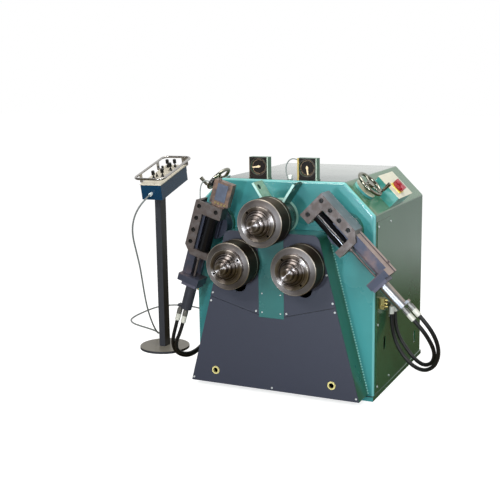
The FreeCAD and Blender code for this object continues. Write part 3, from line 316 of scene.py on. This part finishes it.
def fade(nodes, links, value, low, high):
    """From nothing at one value to full at another."""
    r = nodes.new("ShaderNodeMapRange")
    r.inputs["From Min"].default_value = low
    r.inputs["From Max"].default_value = high
    links.new(value, r.inputs["Value"])
    return r.outputs["Result"]


def between(nodes, links, value, low, high):
    """Full between two values, nothing outside them."""
    return calc(nodes, links, "MULTIPLY", calc(nodes, links, "GREATER_THAN", value, low),
                calc(nodes, links, "LESS_THAN", value, high))


def from_axis(nodes, links, x, z):
    """The way out from a level axis that runs front to back, and the distance from it."""
    shift = nodes.new("ShaderNodeVectorMath")
    shift.operation = "SUBTRACT"
    shift.inputs[1].default_value = (x, 0.0, z)
    links.new(nodes.new("ShaderNodeTexCoord").outputs["Object"], shift.inputs[0])
    flat = nodes.new("ShaderNodeVectorMath")
    flat.operation = "MULTIPLY"
    flat.inputs[1].default_value = (1.0, 0.0, 1.0)
    links.new(shift.outputs[0], flat.inputs[0])
    length = nodes.new("ShaderNodeVectorMath")
    length.operation = "LENGTH"
    links.new(flat.outputs[0], length.inputs[0])
    return flat.outputs[0], length.outputs["Value"]


def facing(direction, level=0.6, soft=0.15):
    """Faces turned towards a direction."""
    return lambda nodes, links: fade(
        nodes, links, reach(nodes, links, direction, "Normal"), level - soft, level + soft)


def along(direction, low, high):
    """Between two planes square to a direction, in metres from the origin."""
    return lambda nodes, links: between(
        nodes, links, reach(nodes, links, direction), low, high)


def rising(direction, low, high):
    """From nothing at one plane to full at another, in metres from the origin."""
    return lambda nodes, links: fade(
        nodes, links, reach(nodes, links, direction), low, high)


def about(x, z, low, high):
    """Between two radii about a level axis that runs front to back."""
    return lambda nodes, links: between(nodes, links, from_axis(nodes, links, x, z)[1], low, high)


def mottled(scale, low, high):
    """Soft uneven patches, as oil, heat or handling leaves them."""
    return lambda nodes, links: fade(nodes, links, noise(nodes, links, scale, 4.0, 0.6), low, high)


def every(*masks):
    """Where all the masks meet."""
    def mask(nodes, links):
        out = masks[0](nodes, links)
        for m in masks[1:]:
            out = calc(nodes, links, "MULTIPLY", out, m(nodes, links))
        return out
    return mask


def dress(name, finish):
    """Give a solid node its finish."""
    node[name].data.materials.clear()
    node[name].data.materials.append(finish)


enamel = [(every(facing(FRONT, 0.3), along(BACK, -1.0, PLATE_BACK)), TEAL, 0.26, 0.0)]
enamel += [(facing(way, 0.9, 0.08), SHOULDER_SHADE_GREEN, 0.26, 0.0) for way in SHOULDERS]
enamel += [
    (facing(UP, 0.9, 0.08), TOP_SHADE_GREEN, 0.25, 0.0),
    (every(facing(UP, 0.9, 0.08), rising(BACK, -0.38, 0.30)), TOP_REAR_REFLECTION, 0.25, 0.0),
]
enamel += [(along(way, SEAT_FOOT, SEAT_TOP), TEAL, 0.26, 0.0) for way in SHOULDERS]
enamel += [(every(facing(way, 0.95, 0.03), along(way, SEAT_FACE, SEAT_TOP)), SEAT_CREAM, 0.35, 0.0)
           for way in SHOULDERS]
enamel += [(facing(way, 0.93, 0.05), EDGE_HIGHLIGHT_TEAL, 0.2, 0.0) for way in TOP_EDGES]
enamel += [(facing(way, 0.93, 0.05), CORNER_HIGHLIGHT_TEAL, 0.2, 0.0) for way in CORNERS]
# The base green, on faces not turned to the front, is a darker copy of the teal: painted shade.
green = surface("blue_green_enamel", (0.030, 0.105, 0.050), 0.24, patches=enamel, spread=0.10,
                broad=2.2, coat=0.5)
for name in ("base_frame", "casing_shell", "access_panels"):
    dress(name, green)

front_green = surface("front_blue_green_enamel", (0.028, 0.122, 0.120), 0.28, patches=(
    # The housing's side walls and its face under the covers are painted dark, as painted shade.
    (facing(RIGHT, 0.75), SIDE_SHADE_GREEN, 0.3, 0.0),
    (facing(LEFT, 0.75), SIDE_SHADE_GREEN, 0.3, 0.0),
    (every(facing(FRONT, 0.8), along(BACK, *SHADE_UNDER_COVERS)), (0.012, 0.014, 0.020), 0.5, 0.0),
), spread=0.10, broad=3.0, coat=0.4)
for name in ("front_housing", "guide_sleeves", "arm_pivot_pin"):
    dress(name, front_green)

ribs = about(*TOP_AXIS, *PAST_BOSS)
# The boss is a darker green than the teal, as painted shade; the ribs' upper faces are painted
# light and their lower faces painted shade, and the ring at the boss's foot and the ribs' front
# ends carry painted highlights.
dress("top_bearing_boss", surface("boss_enamel", (0.026, 0.080, 0.064), 0.26, patches=(
    (every(facing((0.838, 0.0, 0.545), 0.97, 0.02), ribs), (0.16, 0.30, 0.20), 0.35, 0.0),
    (every(facing((0.838, 0.0, -0.545), 0.97, 0.02), ribs), (0.012, 0.060, 0.040), 0.35, 0.0),
    (every(facing(FRONT, 0.5, 0.1), about(*TOP_AXIS, *BOSS_FOOT)), (0.26, 0.50, 0.42), 0.25, 0.0),
    (every(facing(FRONT, 0.9), along(BACK, *RIB_ENDS)), (0.50, 0.78, 0.72), 0.25, 0.0),
), spread=0.12, broad=5.0, coat=0.4))


# ---- Weld beads ---------------------------------------------------------------------
# Rows of small overlapping beads of painted weld metal, run up both sides where the front
# housing's walls meet the casing's front plate. Their colour, paler than the enamel, is a painted
# highlight.
BEADS, BEAD_PITCH, BEAD_RADIUS = 58, 0.0136, 0.0055
WALL_TAPER = 0.262  # how far the housing narrows for each metre up
WALL_FOOT_X, LOWEST_BEAD = 0.4705, 0.036
BEAD_OUT = 0.0020  # how far the beads' middles lie before the front plate


def new_piece(name, body, finish):
    """Name, smooth, finish and place on its body the mesh that has just been made."""
    piece = bpy.context.object
    piece.name = name
    piece.data.name = name
    bpy.ops.object.transform_apply(location=True, rotation=True, scale=True)
    bpy.ops.object.shade_smooth_by_angle(angle=math.radians(40.0))
    piece.data.materials.clear()
    piece.data.materials.append(finish)
    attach(piece, body)


weld_highlight_paint = surface("weld_bead_painted_highlight", (0.20, 0.50, 0.45), 0.3, spread=0.2, coat=0.4)
for side, sign in SIGN.items():
    bpy.ops.object.select_all(action="DESELECT")
    bpy.ops.mesh.primitive_uv_sphere_add(segments=10, ring_count=6, radius=BEAD_RADIUS)
    bead = bpy.context.object
    bpy.ops.object.mode_set(mode="EDIT")
    bpy.ops.mesh.select_all(action="SELECT")
    bpy.ops.transform.resize(value=(0.9, 0.8, 0.85), center_override=(0.0, 0.0, 0.0))
    bpy.ops.object.mode_set(mode="OBJECT")
    row = bead.modifiers.new("row", "ARRAY")
    row.count = BEADS
    row.use_relative_offset = False
    row.use_constant_offset = True
    row.constant_offset_displace = (-sign * WALL_TAPER * BEAD_PITCH, 0.0, BEAD_PITCH)
    bead.location = (sign * WALL_FOOT_X, -HALF_DEPTH - BEAD_OUT, LOWEST_BEAD)
    bpy.ops.object.modifier_apply(modifier="row")
    new_piece(side + "_weld_beads", "machine", weld_highlight_paint)

# ---- Front covers -------------------------------------------------------------------
# Sheet steel plates in dark blue-grey satin paint, screwed over the green housing; pale
# yellow rings stand round the two sleeve holes low on the cover.
SLEEVE_X, SLEEVE_Z, SLEEVE_RADIUS = 0.325, 0.100, 0.0215
RING_YELLOW = (0.62, 0.55, 0.22)
slate = surface("slate_cover_paint", (0.029, 0.033, 0.053), 0.5, patches=[
    (every(facing(FRONT, 0.0, 0.05), about(x, SLEEVE_Z, 0.0, SLEEVE_RADIUS)), RING_YELLOW, 0.4, 0.0)
    for x in (SLEEVE_X, -SLEEVE_X)
], spread=0.05, broad=1.6)
for name in ("slot_plates", "lower_front_cover"):
    dress(name, slate)
dress("cover_screws", surface("zinc_screw", (0.80, 0.84, 0.86), 0.3, 0.6))


# ---- Rolls, nuts and shafts ---------------------------------------------------------
# Turned and hardened steel. The rolls are brown with oil, with fine rings about each axis, and the
# nuts and stepped shaft noses are bright. Thin pale bands on the rims and nut flanges are painted
# highlights; dark bands in the nuts' holes, steps and shoulders are painted shade.
ROLL_AXES = {"top": TOP_AXIS, "right": (0.1765, 0.6959), "left": (-0.1765, 0.6959)}
RIM_DARK_AND_HIGHLIGHT_BANDS = (  # radius from and to, depth from and to, colour
    (0.1165, 0.130, -0.720, -0.5, (0.055, 0.040, 0.026)),  # oil-dark rim
    (0.1165, 0.1202, -0.712, -0.7072, (0.50, 0.45, 0.38)),  # painted highlight on the front edge
    (0.1165, 0.1215, -0.6145, -0.6085, (0.62, 0.58, 0.50)),  # painted highlight in the groove near the rear edge
)
NUT_SHADE_AND_HIGHLIGHT_BANDS = (
    (0.0850, 0.0890, -0.740, -0.7295, (0.75, 0.70, 0.62)),  # painted highlight on the flange's edge
    (0.0690, 0.0840, -0.7285, -0.700, (0.004, 0.004, 0.004)),  # painted shade inside the spanner holes
    (0.0675, 0.0700, -0.7305, -0.725, (0.035, 0.028, 0.024)),  # painted shade at the foot of the hub
    (0.0580, 0.0622, -0.740, -0.7335, (0.050, 0.040, 0.034)),  # painted shade on the step half-way up the hub
    (0.0450, 0.0500, -0.760, -0.7485, (0.090, 0.075, 0.065)),  # painted shade on the hub's end, round the shaft
    (0.0301, 0.0330, -0.800, -0.7665, (0.050, 0.040, 0.035)),  # painted shade at the shoulder of the shaft's nose
)


def turned(name, axis, dark, light, roughness, swirl, bands):
    """Metal turned about an axis, with bands of other colours, painted highlights and shade among
    them, in metres.
    """
    m = bpy.data.materials.new(name)
    m.use_nodes = True
    nodes = m.node_tree.nodes
    links = m.node_tree.links
    shader = nodes["Principled BSDF"]
    flat, radius = from_axis(nodes, links, *axis)
    round_way = nodes.new("ShaderNodeVectorMath")
    round_way.operation = "CROSS_PRODUCT"
    round_way.inputs[1].default_value = BACK
    links.new(flat, round_way.inputs[0])
    links.new(round_way.outputs[0], shader.inputs["Tangent"])
    place = nodes.new("ShaderNodeSeparateXYZ")
    links.new(nodes.new("ShaderNodeTexCoord").outputs["Object"], place.inputs[0])
    depth = place.outputs["Y"]
    profile = nodes.new("ShaderNodeCombineXYZ")
    links.new(radius, profile.inputs["X"])
    links.new(depth, profile.inputs["Y"])
    rings = {}
    for kind, scale, detail in (("fine", 700.0, 2.0), ("wide", 75.0, 3.0)):
        ring = nodes.new("ShaderNodeTexNoise")
        ring.inputs["Scale"].default_value = scale
        ring.inputs["Detail"].default_value = detail
        links.new(profile.outputs[0], ring.inputs["Vector"])
        rings[kind] = ring.outputs["Fac"]
    clouds = noise(nodes, links, 14.0, 4.0)
    tone = calc(nodes, links, "MULTIPLY_ADD", clouds, 0.45,
                calc(nodes, links, "MULTIPLY", rings["wide"], 0.55))
    colour = blend(nodes, links, "RGBA", fade(nodes, links, tone, 0.36, 0.64), dark, light)
    for low, high, near, far, band_colour in bands:
        where = calc(nodes, links, "MULTIPLY", between(nodes, links, radius, low, high),
                     between(nodes, links, depth, near, far))
        colour = blend(nodes, links, "RGBA", where, colour, band_colour)
    links.new(colour, shader.inputs["Base Color"])
    shader.inputs["Metallic"].default_value = 1.0
    shader.inputs["Anisotropic"].default_value = swirl
    shader.inputs["Anisotropic Rotation"].default_value = 0.25
    links.new(calc(nodes, links, "MULTIPLY_ADD", clouds, 0.12, roughness - 0.06),
              shader.inputs["Roughness"])
    bump = nodes.new("ShaderNodeBump")
    bump.inputs["Strength"].default_value = 0.06
    bump.inputs["Distance"].default_value = 0.0003
    links.new(rings["fine"], bump.inputs["Height"])
    links.new(bump.outputs["Normal"], shader.inputs["Normal"])
    return m


for side, axis in ROLL_AXES.items():
    bright = turned(side + "_bright_steel", axis, (0.12, 0.090, 0.078), (0.42, 0.385, 0.375),
                    0.29, 0.97, NUT_SHADE_AND_HIGHLIGHT_BANDS)
    dress(side + "_roll", turned(side + "_roll_steel", axis, (0.15, 0.130, 0.124),
                                 (0.27, 0.248, 0.243), 0.44, 0.65, RIM_DARK_AND_HIGHLIGHT_BANDS))
    dress(side + "_roll_nut", bright)
    dress(side + "_shaft", bright)

# ---- Side guides --------------------------------------------------------------------
# Ground steel blocks, oiled and a little rusty, on blued arms with slide bars; black guide rolls;
# both cylinders painted dark, the right one given a bright metal colour as a painted reflection.
# Faces of the blocks and arms turned out or down are painted lighter and faces turned in darker, as
# painted light and shade.
RUST = (0.12, 0.285)  # each pair: from and to, in metres down the guide from its pivot
RAM_PLATE = (0.300, 0.3345)
RAM_PORTS = (0.470, 0.512)
FERRULES = (0.512, 0.560)
HEAD_SCREWS = (-0.145, -0.12)
HEAD_PANEL = (-0.237, -0.147)
PANEL_ACROSS = (-0.060, 0.0005)  # out from the guide's middle line
KNOB_ACROSS = (0.0255, 0.2)
HUB_FRONT, HEAD_FACE = -0.455, -0.5832
RAM_PAINT_AND_SHEEN = {  # tube, its outer side, roughness, metallic; the right one's bright metal and brown side are painted reflection
    # The right cylinder's bright metal colour and its brown outer side are a painted reflection;
    # the left one's dark is its paint.
    "right": ((0.50, 0.52, 0.58), (0.30, 0.23, 0.16), 0.33, 1.0),
    "left": ((0.035, 0.037, 0.048), (0.035, 0.037, 0.048), 0.38, 0.3),
}


def span(direction, start, ends):
    """Between two distances from a starting point, along a direction."""
    zero = start.dot(Vector(direction))
    return along(direction, *(zero + end for end in ends))


for side, sign in SIGN.items():
    a = math.radians(LEAN[side])
    down = (sign * math.sin(a), 0.0, -math.cos(a))
    out = (sign * math.cos(a), 0.0, math.sin(a))
    inward = tuple(-v for v in out)
    pivot = Vector((sign * PIVOT_X / 1000.0, -HALF_DEPTH, PIVOT_Z / 1000.0))
    dress(side + "_guide_holder", surface(
        side + "_holder_steel", (0.105, 0.084, 0.077), 0.42, 0.55, patches=(
            (mottled(30.0, 0.45, 0.75), (0.19, 0.172, 0.172), 0.35, 0.7),
            # Faces turned out are painted paler as a painted reflection, faces turned in darker as
            # painted shade, and faces turned down lighter and browner as painted light.
            (facing(out, 0.85), (0.165, 0.19, 0.21), 0.4, 0.5),
            (facing(inward, 0.85), (0.05, 0.045, 0.045), 0.45, 0.5),
            (facing(down, 0.8), (0.30, 0.24, 0.18), 0.45, 0.5),
        ), spread=0.22, broad=16.0, grain=220.0))
    dress(side + "_guide_arm", surface(
        side + "_arm_steel", (0.066, 0.072, 0.105), 0.34, 0.6, patches=(
            (every(mottled(15.0, 0.42, 0.85), span(down, pivot, RUST)),
             (0.20, 0.125, 0.105), 0.38, 0.5),
            # Faces turned out are painted paler and warmer, as painted light.
            (facing(out, 0.85), (0.34, 0.26, 0.23), 0.42, 0.4),
            (along(BACK, HUB_FRONT, 0.0), (0.5, 0.5, 0.5), 0.3, 0.9),
        ), spread=0.22, broad=11.0))
    tube, outer, roughness, metallic = RAM_PAINT_AND_SHEEN[side]
    dress(side + "_guide_cylinder", surface(
        side + "_ram_paint_and_sheen", tube, roughness, metallic, patches=(
            (facing(out, 0.8, 0.3), outer, 0.3, 0.8),
            (span(down, pivot, RAM_PLATE), (0.10, 0.10, 0.14), 0.4, 0.5),
            (span(down, pivot, RAM_PORTS), (0.26, 0.26, 0.25), 0.35, 0.8),
            (span(down, pivot, FERRULES), (0.52, 0.52, 0.46), 0.4, 0.2),
        ), spread=0.15, broad=12.0, depth=0.00006))
    dress(side + "_guide_roll", surface(side + "_roll_gloss", (0.010, 0.010, 0.012), 0.13, 0.6,
                                        spread=0.1))
    if side == "left":
        dress("left_guide_head", surface(
            "traverse_head_finish", (0.25, 0.165, 0.125), 0.36, 0.6, patches=(
                (mottled(34.0, 0.42, 0.66), (0.075, 0.060, 0.060), 0.45, 0.5),
                (every(facing(FRONT, 0.8), span(out, pivot, PANEL_ACROSS),
                       span(down, pivot, HEAD_PANEL)), (0.105, 0.125, 0.175), 0.2, 0.3),
                (span(out, pivot, KNOB_ACROSS), (0.012, 0.012, 0.012), 0.35, 0.0),
                (every(along(BACK, -1.0, HEAD_FACE), span(down, pivot, HEAD_SCREWS)),
                 (0.80, 0.62, 0.30), 0.25, 1.0),
            ), spread=0.25, broad=20.0))

# ---- Cap screws in the guide holders ------------------------------------------------
# Blackened steel screws with a round head and a sunk socket, screwed down into the
# counterbores of the two holders.
SLIDE = {"right": -165.0, "left": -90.0}  # where each holder starts, down its guide
SCREWS = ((0.0, 64.0), (64.5, 64.0), (129.0, 64.0), (193.5, 64.0), (0.0, -35.0))
SCREW_Y = -161.0
HEAD_RADIUS, HEAD_LENGTH = 0.0096, 0.011
SOCKET_WALL, SOCKET_DEPTH = 0.0045, 0.005
black_steel = surface("blackened_steel", (0.004, 0.004, 0.004), 0.25)
for side in ("right", "left"):
    bpy.ops.object.select_all(action="DESELECT")
    heads = []
    for s, t in SCREWS:
        x, y, z = guide_point(side, SLIDE[side] + s, t, SCREW_Y)
        bpy.ops.mesh.primitive_cylinder_add(
            vertices=18, radius=HEAD_RADIUS, depth=HEAD_LENGTH,
            location=(x / 1000, y / 1000 - HALF_DEPTH, z / 1000),
            rotation=(math.radians(90), 0.0, 0.0))
        head = bpy.context.object
        bpy.ops.object.mode_set(mode="EDIT")
        bpy.ops.mesh.select_mode(type="FACE")
        bpy.ops.mesh.select_all(action="DESELECT")
        bpy.ops.object.mode_set(mode="OBJECT")
        ends = [face for face in head.data.polygons if len(face.vertices) > 4]
        min(ends, key=lambda face: (head.matrix_world @ face.center).y).select = True
        bpy.ops.object.mode_set(mode="EDIT")
        bpy.ops.mesh.inset(thickness=SOCKET_WALL, depth=0.0)
        bpy.ops.mesh.inset(thickness=0.0004, depth=-SOCKET_DEPTH)
        bpy.ops.object.mode_set(mode="OBJECT")
        heads.append(head)
    for head in heads:
        head.select_set(True)
    bpy.context.view_layer.objects.active = heads[0]
    bpy.ops.object.join()
    new_piece(side + "_cap_screws", side + "_holder", black_steel)

# ---- Handwheels ---------------------------------------------------------------------
# Cast metal rims on three spokes, each with a turned spinner handle, polished and a
# little dull with oil.
wheel_metal = surface("polished_wheel", (0.30, 0.30, 0.25), 0.17, 1.0, spread=0.25, broad=25.0)
for side in ("right", "left"):
    dress(side + "_handwheel", wheel_metal)

# ---- Dials --------------------------------------------------------------------------
# Green painted boxes screwed to the casing's top, with brown-black faces, a ring of tan
# ticks and cream pointers. The right box has a brass strip along its left edge.
DIAL_AXES = ((-0.137, 1.167), (0.131, 1.167))
TICKS, TICK_WIDTH = 40, 0.22  # the width is a share of the gap from one to the next
TICK_RING, BEZEL = (0.034, 0.040), (0.0425, 0.0465)
RIGHT_LIP = (0.0475, 0.056)
BRASS_STRIP = (0.072, 0.088)
BROWN_STRIP = (-0.1965, -0.1865)


def ticks(x, z, low, high):
    """Marks round a dial, between two radii."""
    ring = about(x, z, low, high)

    def mask(nodes, links):
        place = nodes.new("ShaderNodeSeparateXYZ")
        links.new(nodes.new("ShaderNodeTexCoord").outputs["Object"], place.inputs[0])
        angle = calc(nodes, links, "ARCTAN2",
                     calc(nodes, links, "SUBTRACT", place.outputs["Z"], z),
                     calc(nodes, links, "SUBTRACT", place.outputs["X"], x))
        gaps = calc(nodes, links, "MULTIPLY", angle, TICKS / (2.0 * math.pi))
        mark = calc(nodes, links, "LESS_THAN", calc(nodes, links, "FRACT", gaps), TICK_WIDTH)
        return calc(nodes, links, "MULTIPLY", mark, ring(nodes, links))
    return mask


front = facing(FRONT, 0.8)
dial_patches = [(front, (0.008, 0.005, 0.004), 0.2, 0.0)]
for x, z in DIAL_AXES:
    lip = along(RIGHT, *(x + end for end in RIGHT_LIP))
    dial_patches += [
        (every(front, ticks(x, z, *TICK_RING)), (0.42, 0.28, 0.16), 0.4, 0.0),
        (every(front, about(x, z, *BEZEL)), (0.045, 0.035, 0.028), 0.3, 0.0),
        (every(front, lip), (0.42, 0.52, 0.42), 0.3, 0.0),
    ]
dial_patches += [
    (every(front, along(RIGHT, *BRASS_STRIP)), (0.52, 0.40, 0.13), 0.3, 0.4),
    (every(front, along(RIGHT, *BROWN_STRIP)), (0.12, 0.09, 0.05), 0.4, 0.0),
]
dress("dial_housings", surface("dial_box_paint", (0.045, 0.130, 0.080), 0.35,
                               patches=dial_patches, spread=0.1))
cream = surface("cream_pointer", (0.80, 0.62, 0.38), 0.35, spread=0.06)
for side in ("right", "left"):
    dress(side + "_dial_pointer", cream)

# ---- Lead socket --------------------------------------------------------------------
# A small white moulded plastic socket, pushed into the casing's top where the dial's lead
# comes out.
SOCKET_AT = (0.0325, 0.0445 - HALF_DEPTH, 1.1165)
SOCKET_SIZE = (0.018, 0.022, 0.023)
bpy.ops.object.select_all(action="DESELECT")
bpy.ops.mesh.primitive_cube_add(size=1.0, location=SOCKET_AT)
bpy.ops.object.mode_set(mode="EDIT")
bpy.ops.mesh.select_all(action="SELECT")
bpy.ops.transform.resize(value=SOCKET_SIZE, center_override=SOCKET_AT)
bpy.ops.mesh.bevel(offset=0.0035, segments=3, affect="EDGES")
bpy.ops.object.mode_set(mode="OBJECT")
white_plastic = surface("white_moulding", (0.78, 0.82, 0.78), 0.35, spread=0.04)
new_piece("lead_socket", "machine", white_plastic)

# ---- Main switch --------------------------------------------------------------------
# A teal painted steel box across the right shoulder, with a cream lid, a yellow square
# base and a red moulded rotary knob.
SWITCH_WAY = (0.70711, 0.0, 0.70711)
LID, BASE = (1.0902, 1.0945), (1.0945, 1.2)  # metres from the origin, out to the shoulder
dress("switch_box", surface("switch_box_finish", (0.050, 0.300, 0.265), 0.3, patches=(
    (along(SWITCH_WAY, *LID), (0.70, 0.68, 0.53), 0.35, 0.0),
    (along(SWITCH_WAY, *BASE), (0.78, 0.66, 0.10), 0.35, 0.0),
), spread=0.07, coat=0.3))
dress("main_switch", surface("red_knob", (0.29, 0.010, 0.020), 0.35, spread=0.2, broad=60.0,
                             coat=0.3))

# ---- Hose fittings ------------------------------------------------------------------
# Dull brass manifold, plated steel elbows and cream ferrules, screwed to the side panels,
# and a black gland for the control cable.
MANIFOLD = ((-0.386, -0.325), (0.455, 0.53))  # from front to rear, and up
HOSE_ENDS = ((-0.27, -0.16), (0.40, 0.4515))
GLAND = (0.2, 0.4)
dress("bulkhead_fittings", surface("fitting_plating", (0.42, 0.42, 0.38), 0.3, 0.9, patches=(
    (every(along(BACK, *MANIFOLD[0]), along(UP, *MANIFOLD[1])), (0.42, 0.36, 0.14), 0.3, 0.9),
    (every(along(BACK, *HOSE_ENDS[0]), along(UP, *HOSE_ENDS[1])), (0.66, 0.68, 0.62), 0.35, 0.2),
    (along(BACK, *GLAND), (0.03, 0.03, 0.03), 0.4, 0.0),
), spread=0.2, broad=30.0))

# ---- Machinery inside the casing ----------------------------------------------------
# Frame plate, swing arms, lift cylinders, motors and oil tank, behind the panels. They are
# cast iron and welded steel, left plain or painted dark.
iron = surface("cast_iron_grey", (0.06, 0.06, 0.06), 0.55, 0.4)
for name in ("inner_frame_plate", "top_roll_motor", "oil_tank", "pump_motor", "lift_cylinders",
             "right_lift_rod", "left_lift_rod", "right_swing_arm", "left_swing_arm"):
    dress(name, iron)

# ---- Control pedestal ---------------------------------------------------------------
# Dark square post welded to a round foot, a navy desk box with a cream plate, a bent tube
# guard rail and black moulded levers.
GLAND_PLATE = (-0.03, -0.0008)  # metres behind the box's front
DESK_LID, DESK_KNOBS = (0.0885, 0.0935), (0.0935, 0.2)  # metres above its floor
desk_up = desk_turn @ Vector(UP)
desk_back = desk_turn @ Vector(BACK)
desk_at = Vector((DESK_FRONT[0] / 1000.0, DESK_FRONT[1] / 1000.0 - HALF_DEPTH,
                  DESK_FRONT[2] / 1000.0))
dress("pedestal_stand", surface("post_paint", (0.032, 0.035, 0.044), 0.4, patches=(
    # The post's right-facing faces are painted darker, as painted shade.
    (facing(RIGHT, 0.8), (0.010, 0.009, 0.009), 0.4, 0.0),
    (every(facing(UP, 0.8), along(UP, 0.0, 0.02)), (0.17, 0.155, 0.125), 0.5, 0.0),
), spread=0.12, coat=0.1))
dress("pedestal_box", surface("desk_finish", (0.002, 0.033, 0.078), 0.22, patches=(
    (span(tuple(desk_back), desk_at, GLAND_PLATE), (0.66, 0.72, 0.72), 0.3, 0.0),
    (span(tuple(desk_up), desk_at, DESK_LID), (0.54, 0.50, 0.40), 0.35, 0.0),
    (span(tuple(desk_up), desk_at, DESK_KNOBS), (0.012, 0.012, 0.012), 0.35, 0.0),
), spread=0.10))
dress("pedestal_guard_rail", surface("rail_steel", (0.50, 0.48, 0.46), 0.24, 1.0, spread=0.12))
black_plastic = surface("black_lever_plastic", (0.003, 0.003, 0.003), 0.3)
for number in range(1, 6):
    dress("pedestal_lever_%d" % number, black_plastic)

# ---- Floor and light ----------------------------------------------------------------
# A white floor that keeps the machine's shadow and looks brown close by in reflections. The
# studio is soft and pale, darker before the machine in reflections, with a large lamp to
# the front left, one to the right, one above and two small ones that streak the rolls.
NEAR_BROWN, FAR_WHITE = (0.11, 0.085, 0.035), (0.85, 0.88, 0.88)
bpy.ops.object.select_all(action="DESELECT")
bpy.ops.mesh.primitive_plane_add(size=60.0, location=(0.0, 0.0, 0.0))
floor = bpy.context.object
floor.name = "studio_floor"
paper = bpy.data.materials.new("white_floor")
paper.use_nodes = True
nodes = paper.node_tree.nodes
links = paper.node_tree.links
shader = nodes["Principled BSDF"]
shader.inputs["Roughness"].default_value = 1.0
shader.inputs["Specular IOR Level"].default_value = 0.0
ray = nodes.new("ShaderNodeLightPath")
from_front = nodes.new("ShaderNodeVectorMath")
from_front.operation = "DISTANCE"
from_front.inputs[1].default_value = (0.0, -2.0, 0.0)
links.new(nodes.new("ShaderNodeTexCoord").outputs["Object"], from_front.inputs[0])
away = fade(nodes, links, from_front.outputs["Value"], 3.8, 6.0)
seen_shiny = blend(nodes, links, "RGBA", away, NEAR_BROWN, FAR_WHITE)
plain = blend(nodes, links, "RGBA", ray.outputs["Is Glossy Ray"], (0.60, 0.60, 0.60), seen_shiny)
links.new(blend(nodes, links, "RGBA", ray.outputs["Is Camera Ray"], plain, (0.56, 0.56, 0.56)),
          shader.inputs["Base Color"])
shader.inputs["Emission Color"].default_value = (1.0, 1.0, 1.0, 1.0)
links.new(calc(nodes, links, "MULTIPLY", ray.outputs["Is Camera Ray"], 0.74),
          shader.inputs["Emission Strength"])
floor.data.materials.append(paper)

world = bpy.data.worlds.new("studio_surround")
bpy.context.scene.world = world
world.use_nodes = True
nodes = world.node_tree.nodes
links = world.node_tree.links
background = nodes["Background"]
background.inputs["Color"].default_value = (1.0, 1.0, 1.0, 1.0)
ray = nodes.new("ShaderNodeLightPath")
way = nodes.new("ShaderNodeSeparateXYZ")
links.new(nodes.new("ShaderNodeTexCoord").outputs["Generated"], way.inputs[0])
behind = nodes.new("ShaderNodeMapRange")
behind.inputs["From Min"].default_value = -0.35
behind.inputs["From Max"].default_value = 0.35
behind.inputs["To Min"].default_value = 0.04
behind.inputs["To Max"].default_value = 0.85
links.new(way.outputs["Y"], behind.inputs["Value"])
plain = blend(nodes, links, "FLOAT", ray.outputs["Is Glossy Ray"], 0.5, behind.outputs["Result"])
links.new(blend(nodes, links, "FLOAT", ray.outputs["Is Camera Ray"], plain, 1.0),
          background.inputs["Strength"])


def lamp(name, place, aim, size, power, colour):
    """A rectangular lamp that looks from its place to its aim."""
    data = bpy.data.lights.new(name, "AREA")
    data.shape = "RECTANGLE"
    data.size, data.size_y = size
    data.energy = power
    data.color = colour
    holder = bpy.data.objects.new(name, data)
    holder.location = place
    holder.rotation_euler = (Vector(aim) - Vector(place)).to_track_quat("-Z", "Y").to_euler()
    bpy.context.scene.collection.objects.link(holder)


lamp("key_softbox", (-1.2, -4.6, 3.4), (0.0, -0.3, 0.6), (1.6, 1.0), 98.0, (1.0, 0.96, 0.90))
lamp("right_softbox", (2.9, -3.6, 1.5), (0.0, -0.3, 0.7), (0.9, 1.8), 78.0, (0.92, 0.97, 1.0))
lamp("top_softbox", (0.2, -0.4, 4.0), (0.0, 0.0, 0.8), (2.4, 1.6), 60.0, (1.0, 0.98, 0.94))
lamp("near_strip", (-0.35, -5.3, 0.8), (0.0, -0.6, 0.8), (0.22, 0.22), 70.0, (0.78, 0.89, 1.0))
lamp("high_strip", (1.3, -5.1, 2.85), (0.0, -0.6, 0.8), (0.22, 0.22), 36.0, (1.0, 0.97, 0.90))
